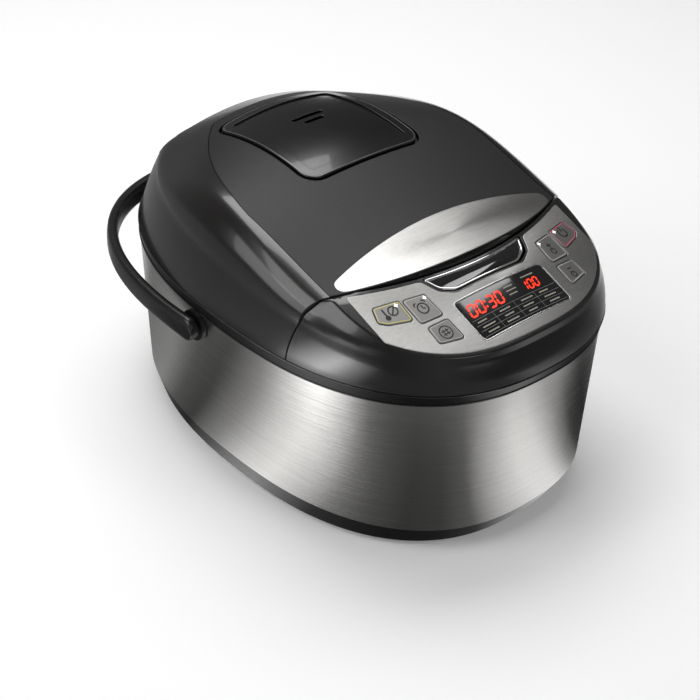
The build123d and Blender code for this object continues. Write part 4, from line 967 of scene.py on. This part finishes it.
# ---- Keys ----
# Six ABS keys, lacquered silver, stand in the panel's openings on their switches. Each has a printed
# symbol and a raised outline: yellow on cancel, pink on start and light grey on the rest.
key_silver = moulded("silver_lacquered_abs", "#8d8b89", 0.3, 0.4, 1.2, 0.05, Metallic=0.85)
ink = moulded("black_pad_print", "#0b0b0b", 0.45, 0.55, 1.0, 0.02)
OUTLINES = {"key_cancel": "#e8dc6a", "key_start": "#e2557a"}
KEY_PROUD, SIGN_SCALE = 0.55, 1.35


def key_top(x, y):
    return console_top(x, y) + KEY_PROUD


def arc_marks(cx, cy, radius, start, stop, width, count=14):
    """An arc as a row of short strokes that meet."""
    angles = [radians(start + (stop - start) * i / count) for i in range(count + 1)]
    inner, outer = radius - width / 2, radius + width / 2
    return [[(cx + r * cos(t), cy + r * sin(t)) for r, t in ((inner, a), (outer, a), (outer, b), (inner, b))]
            for a, b in zip(angles, angles[1:])]


def symbol(name, cx, cy):
    """The key's printed symbol, centred at cx, cy."""
    if name == "key_start":
        return arc_marks(cx, cy, 2.8, 125, 415, 0.9) + [bar(cx, cy + 0.6, cx, cy + 4.0, 0.9)]
    if name == "key_timer":
        bells = arc_marks(cx - 2.4, cy + 3.0, 1.1, 60, 210, 0.8, 6)
        bells += arc_marks(cx + 2.4, cy + 3.0, 1.1, -30, 120, 0.8, 6)
        hands = [bar(cx, cy, cx, cy + 2.0, 0.7), bar(cx, cy, cx + 1.5, cy - 0.6, 0.7)]
        return arc_marks(cx, cy, 3.0, 0, 360, 0.8, 24) + hands + bells
    if name == "key_menu":
        box = [bar(cx - 2.4, cy + dy, cx + 2.4, cy + dy, 0.6) for dy in (-0.9, 0.9)]
        box += [bar(cx + dx, cy - 2.0, cx + dx, cy + 2.0, 0.6) for dx in (-1.0, 1.0)]
        return arc_marks(cx, cy, 3.6, 0, 360, 0.7, 28) + box
    if name == "key_cancel":
        stem = [bar(cx - 3.2, cy - 0.6, cx - 3.2, cy + 3.6, 1.0)] + arc_marks(cx - 3.2, cy - 2.0, 0.8, 0, 360, 1.5, 12)
        return stem + arc_marks(cx + 1.6, cy, 2.6, 0, 360, 0.8, 22) + [bar(cx - 0.2, cy - 1.8, cx + 3.4, cy + 1.8, 0.8)]
    plus = [bar(cx - 1.6, cy + 2.0, cx + 1.6, cy + 2.0, 0.8)]
    if name == "key_hour":
        plus.append(bar(cx, cy + 0.4, cx, cy + 3.6, 0.8))
    return plus + arc_marks(cx, cy - 2.0, 1.7, 0, 360, 0.7, 16) + [bar(cx, cy - 2.0, cx, cy - 0.9, 0.6)]


outline_grey = moulded("light_grey_pad_print", "#c4c4c2", 0.35, 0.45, 1.0, 0.02)
lamp_white = glowing("white_indicator_lamp", "#ffffff", 1.5)
for name, (x, y, hand, shape) in KEYS.items():
    plate(name + "_cap", key_outline(name, -0.1), [], key_top, 2.2, 0.5, 4.0, key_silver, name, [name], "key_silver")
    paint = moulded(name + "_outline_ink", OUTLINES[name], 0.35, 0.45, 1.0, 0.02) if name in OUTLINES else outline_grey
    ring_plate(name + "_outline", key_outline(name, -0.75), 0.55, lambda px, py: key_top(px, py) + 0.06, 0.2, 0.05,
               paint, name, [], "key_silver")
    sign = [[(x + (px - x) * SIGN_SCALE, y + (py - y) * SIGN_SCALE) for px, py in s] for s in symbol(name, x, y)]
    marks(name + "_symbol", sign, 0.03, ink, name, "key_silver", key_top)
    if shape != "front":
        lx, ly = x - hand * 7.0, y + (2.4 if shape == "outer" else 6.2)
        cross = [bar(lx - 1.5, ly, lx + 1.5, ly, 0.7), bar(lx, ly - 1.5, lx, ly + 1.5, 0.7)]
        marks(name + "_lamp", cross, 0.04, lamp_white, name, "key_silver", key_top)

# ---- Release button ----
# The lid's release is a wide gloss push bar, dished for a thumb and edged with a chromed rim. It is
# moulded ABS, and is sunk in a boat-shaped recess of the console.
chrome = plated("bright_chromed_abs", "#e6e6e6", 8, 0.03, 0.1)
bar_gloss = moulded("high_gloss_black_abs", "#0d0d0d", 0.04, 0.07, 2.0, 0.01, Coat_Weight=1.0, Coat_Roughness=0.02)
BUTTON_DROP, BUTTON_DISH = 0.9, 1.4


def button_top(x, y):
    """The bar is dished along its length."""
    across = (y - (SEAM_Y - BUTTON_DEPTH / 2)) / (BUTTON_DEPTH / 2)
    dish = max(0.0, 1 - across * across) * (1 - (x / (BUTTON_HALF_X + 2)) ** 4)
    return console_top(x, y) - BUTTON_DROP - BUTTON_DISH * dish


bar_outline = button_outline(-0.6, 1.3)
plate("release_bar", offset_loop(bar_outline, 1.5), [], button_top, 3.0, 0.5, 3.0,
      bar_gloss, "release_button", ["release_button"], "gloss_black_plastic")
ring_plate("release_bar_rim", bar_outline, 1.7, lambda x, y: console_top(x, y) - 0.5, 3.4, 0.5,
           chrome, "release_button", [], "chromed_plastic")

# ---- Carrying handle ----
# The handle is one moulded strap of black ABS, bent round the back of the body, with a round hub at
# each end that turns on a shouldered pin. Its edges are well rounded for the hand.
HANDLE_REACH, HANDLE_POWER, PIVOT_Y, PIVOT_Z = 190.5, 2.45, 11.0, 126.0
STRAP_HALF, STRAP_T, STRAP_H, HUB_R = 152.1, 9.0, 18.0, 9.6
PATH_N, SECTION_N = 120, 28
HUB_BLEND, SECTION_FULLNESS = 26, 0.62     # where the strap swells into its hub, and how square it is

path = []
for k in range(PATH_N + 1):
    a = pi * k / PATH_N
    x = np.copysign(abs(cos(a)) ** (2 / HANDLE_POWER), cos(a)) * STRAP_HALF
    path.append((x, PIVOT_Y + abs(sin(a)) ** (2 / HANDLE_POWER) * HANDLE_REACH, STRAP_H / 2))
tip = [(HUB_R - 0.02) * sin(radians(t)) for t in range(0, 91, 9)][1:]
start_cap = [(STRAP_HALF, PIVOT_Y - d, max(0.3, sqrt(HUB_R ** 2 - d * d))) for d in reversed(tip)]
path = start_cap + path + [(-x, y, h) for x, y, h in reversed(start_cap)]
loops = []
for k, (x, y, high) in enumerate(path):
    a, b = np.array(path[max(k - 1, 0)][:2]), np.array(path[min(k + 1, len(path) - 1)][:2])
    along = (b - a) / np.linalg.norm(b - a)
    out_way = np.array((along[1], -along[0]))
    near_hub = max(0.0, 1 - abs(y - PIVOT_Y) / HUB_BLEND)
    half_high = high + (HUB_R - high) * near_hub if high == STRAP_H / 2 else high
    loop = []
    for i in range(SECTION_N):
        t = 2 * pi * i / SECTION_N
        u = np.copysign(abs(cos(t)) ** SECTION_FULLNESS, cos(t)) * STRAP_T / 2
        v = np.copysign(abs(sin(t)) ** SECTION_FULLNESS, sin(t)) * half_high
        loop.append((x + out_way[0] * u, y + out_way[1] * u, PIVOT_Z + v))
    loops.append(loop)
ends = [tuple(reversed(range(SECTION_N))), tuple(range((len(loops) - 1) * SECTION_N, len(loops) * SECTION_N))]
handle_black = moulded("satin_black_handle_abs", "#121212", 0.24, 0.34, 0.9, 0.1)
mesh_piece("carry_handle_strap", [p for loop in loops for p in loop], strip_faces(loops) + ends, handle_black,
           "carry_handle", ["carry_handle"], "satin_black_plastic", 60)
# ---- Drawn, cast and pressed metal inside ----
# Pot, liner, heater and lid plates are pressed or cast in aluminium and steel. Their colour and
# roughness follow the process: rolling lines on sheet, a pebbled skin on castings, speckle on coating.


def metal(name, dark, light, low, high, grain_mm, bump, **surface):
    """Bare or plated metal: tint and roughness follow a grain given in mm along x, y and z."""
    material, tree, shader = new_finish(name, Metallic=1.0, **surface)
    place = add(tree, "ShaderNodeTexCoord")
    stretch = add(tree, "ShaderNodeMapping", {"Scale": [1 / (g * MM) for g in grain_mm]},
                  {"Vector": place.outputs["Object"]})
    grain = add(tree, "ShaderNodeTexNoise", {"Scale": 1.0, "Detail": 5.0}, {"Vector": stretch.outputs[0]})
    between(tree, shader, grain.outputs["Fac"], dark, light, 0.32, 0.7)
    by_grain(tree, shader, grain.outputs["Fac"], low, high, bump, 0.05, (0.3, 0.7))
    return material


# name, dark and light tone, roughness range, grain along x, y and z in mm, relief, CAD nodes
SHEET_AND_CAST = (
    ("rolled_aluminised_steel", "#8f9294", "#b3b6b8", 0.34, 0.5, (30, 2.0, 2.0), 0.1, ("inner_liner", "hinge_bracket")),
    ("die_cast_aluminium", "#8e8f90", "#aeb0b1", 0.4, 0.58, (1.6, 1.6, 1.6), 0.4, ("heating_plate",)),
    ("oxidised_nickel_chrome_sheath", "#4a4642", "#6b665f", 0.35, 0.5, (4, 4, 4), 0.15, ("heating_element",)),
    ("satin_anodised_aluminium", "#a9acae", "#c3c6c8", 0.3, 0.4, (1.0, 40, 40), 0.08, ("inner_lid", "lid_liner")),
    ("deep_drawn_aluminium", "#b0b2b4", "#cccecf", 0.22, 0.34, (2, 2, 12), 0.08, ("pot_sensor", "thermal_fuse")),
    ("drawn_stainless_steel", "#a6a5a2", "#c8c7c4", 0.2, 0.32, (2, 2, 14), 0.06,
     ("sensor_guide", "latch_pin", "hinge_pin")),
)
for *finish, wearers in SHEET_AND_CAST:
    put_on(metal(*finish), *wearers)

# ---- Inner pot ----
# The pot is drawn from 2 mm aluminium and sprayed inside and out with a grey nonstick coating,
# whose pale mica flecks show as fine speckle under the lid.
POT_FLECK_MM = 1.3      # real flecks are 0.2 mm, drawn coarser so that they show

coating, tree, shader = new_finish("flecked_nonstick_coating", Roughness=0.34, Coat_Weight=0.3, Coat_Roughness=0.15)
place = add(tree, "ShaderNodeTexCoord")
fleck = add(tree, "ShaderNodeTexVoronoi", {"Scale": 1 / (POT_FLECK_MM * MM)}, {"Vector": place.outputs["Object"]})
between(tree, shader, fleck.outputs["Distance"], "#8f8c86", "#33322f", 0.12, 0.24)
orange_peel = add(tree, "ShaderNodeTexNoise", {"Scale": 1 / (2.5 * MM), "Detail": 3.0},
                  {"Vector": place.outputs["Object"]})
relief = add(tree, "ShaderNodeBump", {"Strength": 0.15, "Distance": 0.00004}, {"Height": orange_peel.outputs["Fac"]})
tree.links.new(relief.outputs[0], shader.inputs["Normal"])
put_on(coating, "inner_pot")

# ---- Springs, screws and plated small metal ----
# Springs are coiled from oiled spring wire. Screws, hinge arms and catch are zinc-plated steel, and
# the inlet's pins are nickel-plated brass turned to shape.
SMALL_METAL = (
    ("oiled_spring_wire", "#5c5d5f", "#7d7e80", 0.24, 0.36, (1.2, 1.2, 1.2), 0.12,
     ("sensor_spring", "button_spring", "hinge_spring")),
    ("bright_zinc_plate", "#a4a8ab", "#c4c8cc", 0.26, 0.4, (3, 3, 3), 0.12,
     ("base_screws", "console_screws", "hinge_arms", "lid_catch")),
    ("nickel_plated_brass", "#b3ada0", "#cfc9bb", 0.16, 0.26, (1.5, 6, 1.5), 0.06, ("inlet_pins",)),
)
for *finish, wearers in SMALL_METAL:
    put_on(metal(*finish), *wearers)

# ---- Rubber and silicone ----
# The feet are moulded nitrile rubber. The lid seal and the steam tube are cured grey silicone, with
# the dull, slightly dusty skin that silicone gets from its mould.
put_on(moulded("moulded_nitrile_rubber", "#1c1c1b", 0.68, 0.82, 1.1, 0.5), "rubber_feet")
silicone = moulded("cured_grey_silicone", "#8b8b86", 0.48, 0.62, 1.4, 0.25, Subsurface_Weight=0.1,
                   Subsurface_Scale=0.002)
put_on(silicone, "lid_seal", "steam_tube")

# ---- Hidden moulded plastic ----
# The latch parts and the button's stem are white acetal, which slides dry. The well, valve, board
# slots and cup are polypropylene and nylon in their natural or black grades.
put_on(moulded("natural_white_acetal", "#dcdad2", 0.36, 0.48, 1.2, 0.12), "button_stem", "latch_frame", "latch_hook")
put_on(moulded("black_polypropylene", "#181818", 0.42, 0.56, 1.2, 0.25), "vent_well")
put_on(moulded("natural_nylon", "#c9c2ae", 0.44, 0.56, 1.3, 0.15), "board_slots", "steam_valve")
smoke = moulded("clear_smoke_polypropylene", "#54534f", 0.2, 0.32, 1.6, 0.08, Transmission_Weight=0.35)
put_on(smoke, "condensate_cup")
put_on(moulded("fired_steatite_ceramic", "#d8d2c4", 0.5, 0.66, 0.9, 0.35), "plate_posts")

# ---- Circuit boards and switches ----
# The boards are glass-epoxy and phenolic laminate under solder mask. Copper tracks run under the
# mask in straight lanes and read as slightly paler stripes.
TRACK_MM = 2.2


def laminate(name, mask, track, low, high):
    """Circuit board: solder mask over straight copper tracks, drawn as stepped lanes."""
    material, tree, shader = new_finish(name, Coat_Weight=0.3, Coat_Roughness=0.2)
    place = add(tree, "ShaderNodeTexCoord")
    lanes = add(tree, "ShaderNodeTexBrick",
                {"Color1": linear(mask), "Color2": linear(mask), "Mortar": linear(track), "Scale": 1 / (TRACK_MM * MM),
                 "Mortar Size": 0.12, "Brick Width": 6.0, "Row Height": 1.0}, {"Vector": place.outputs["Object"]})
    tree.links.new(lanes.outputs["Color"], shader.inputs["Base Color"])
    weave = add(tree, "ShaderNodeTexNoise", {"Scale": 1 / (1.5 * MM), "Detail": 2.0},
                {"Vector": place.outputs["Object"]})
    rough = add(tree, "ShaderNodeMapRange", {"To Min": low, "To Max": high}, {"Value": weave.outputs["Fac"]})
    tree.links.new(rough.outputs[0], shader.inputs["Roughness"])
    relief = add(tree, "ShaderNodeBump", {"Strength": 0.3, "Distance": 0.00004}, {"Height": lanes.outputs["Fac"]})
    tree.links.new(relief.outputs[0], shader.inputs["Normal"])
    return material


put_on(laminate("green_glass_epoxy_board", "#14502f", "#2f7a4d", 0.28, 0.42), "control_board")
put_on(laminate("brown_phenolic_board", "#8a5f2c", "#a9823f", 0.4, 0.55), "power_board")
put_on(moulded("black_phenolic_resin", "#1a1918", 0.36, 0.5, 1.0, 0.2), "tact_switches", "display_module")
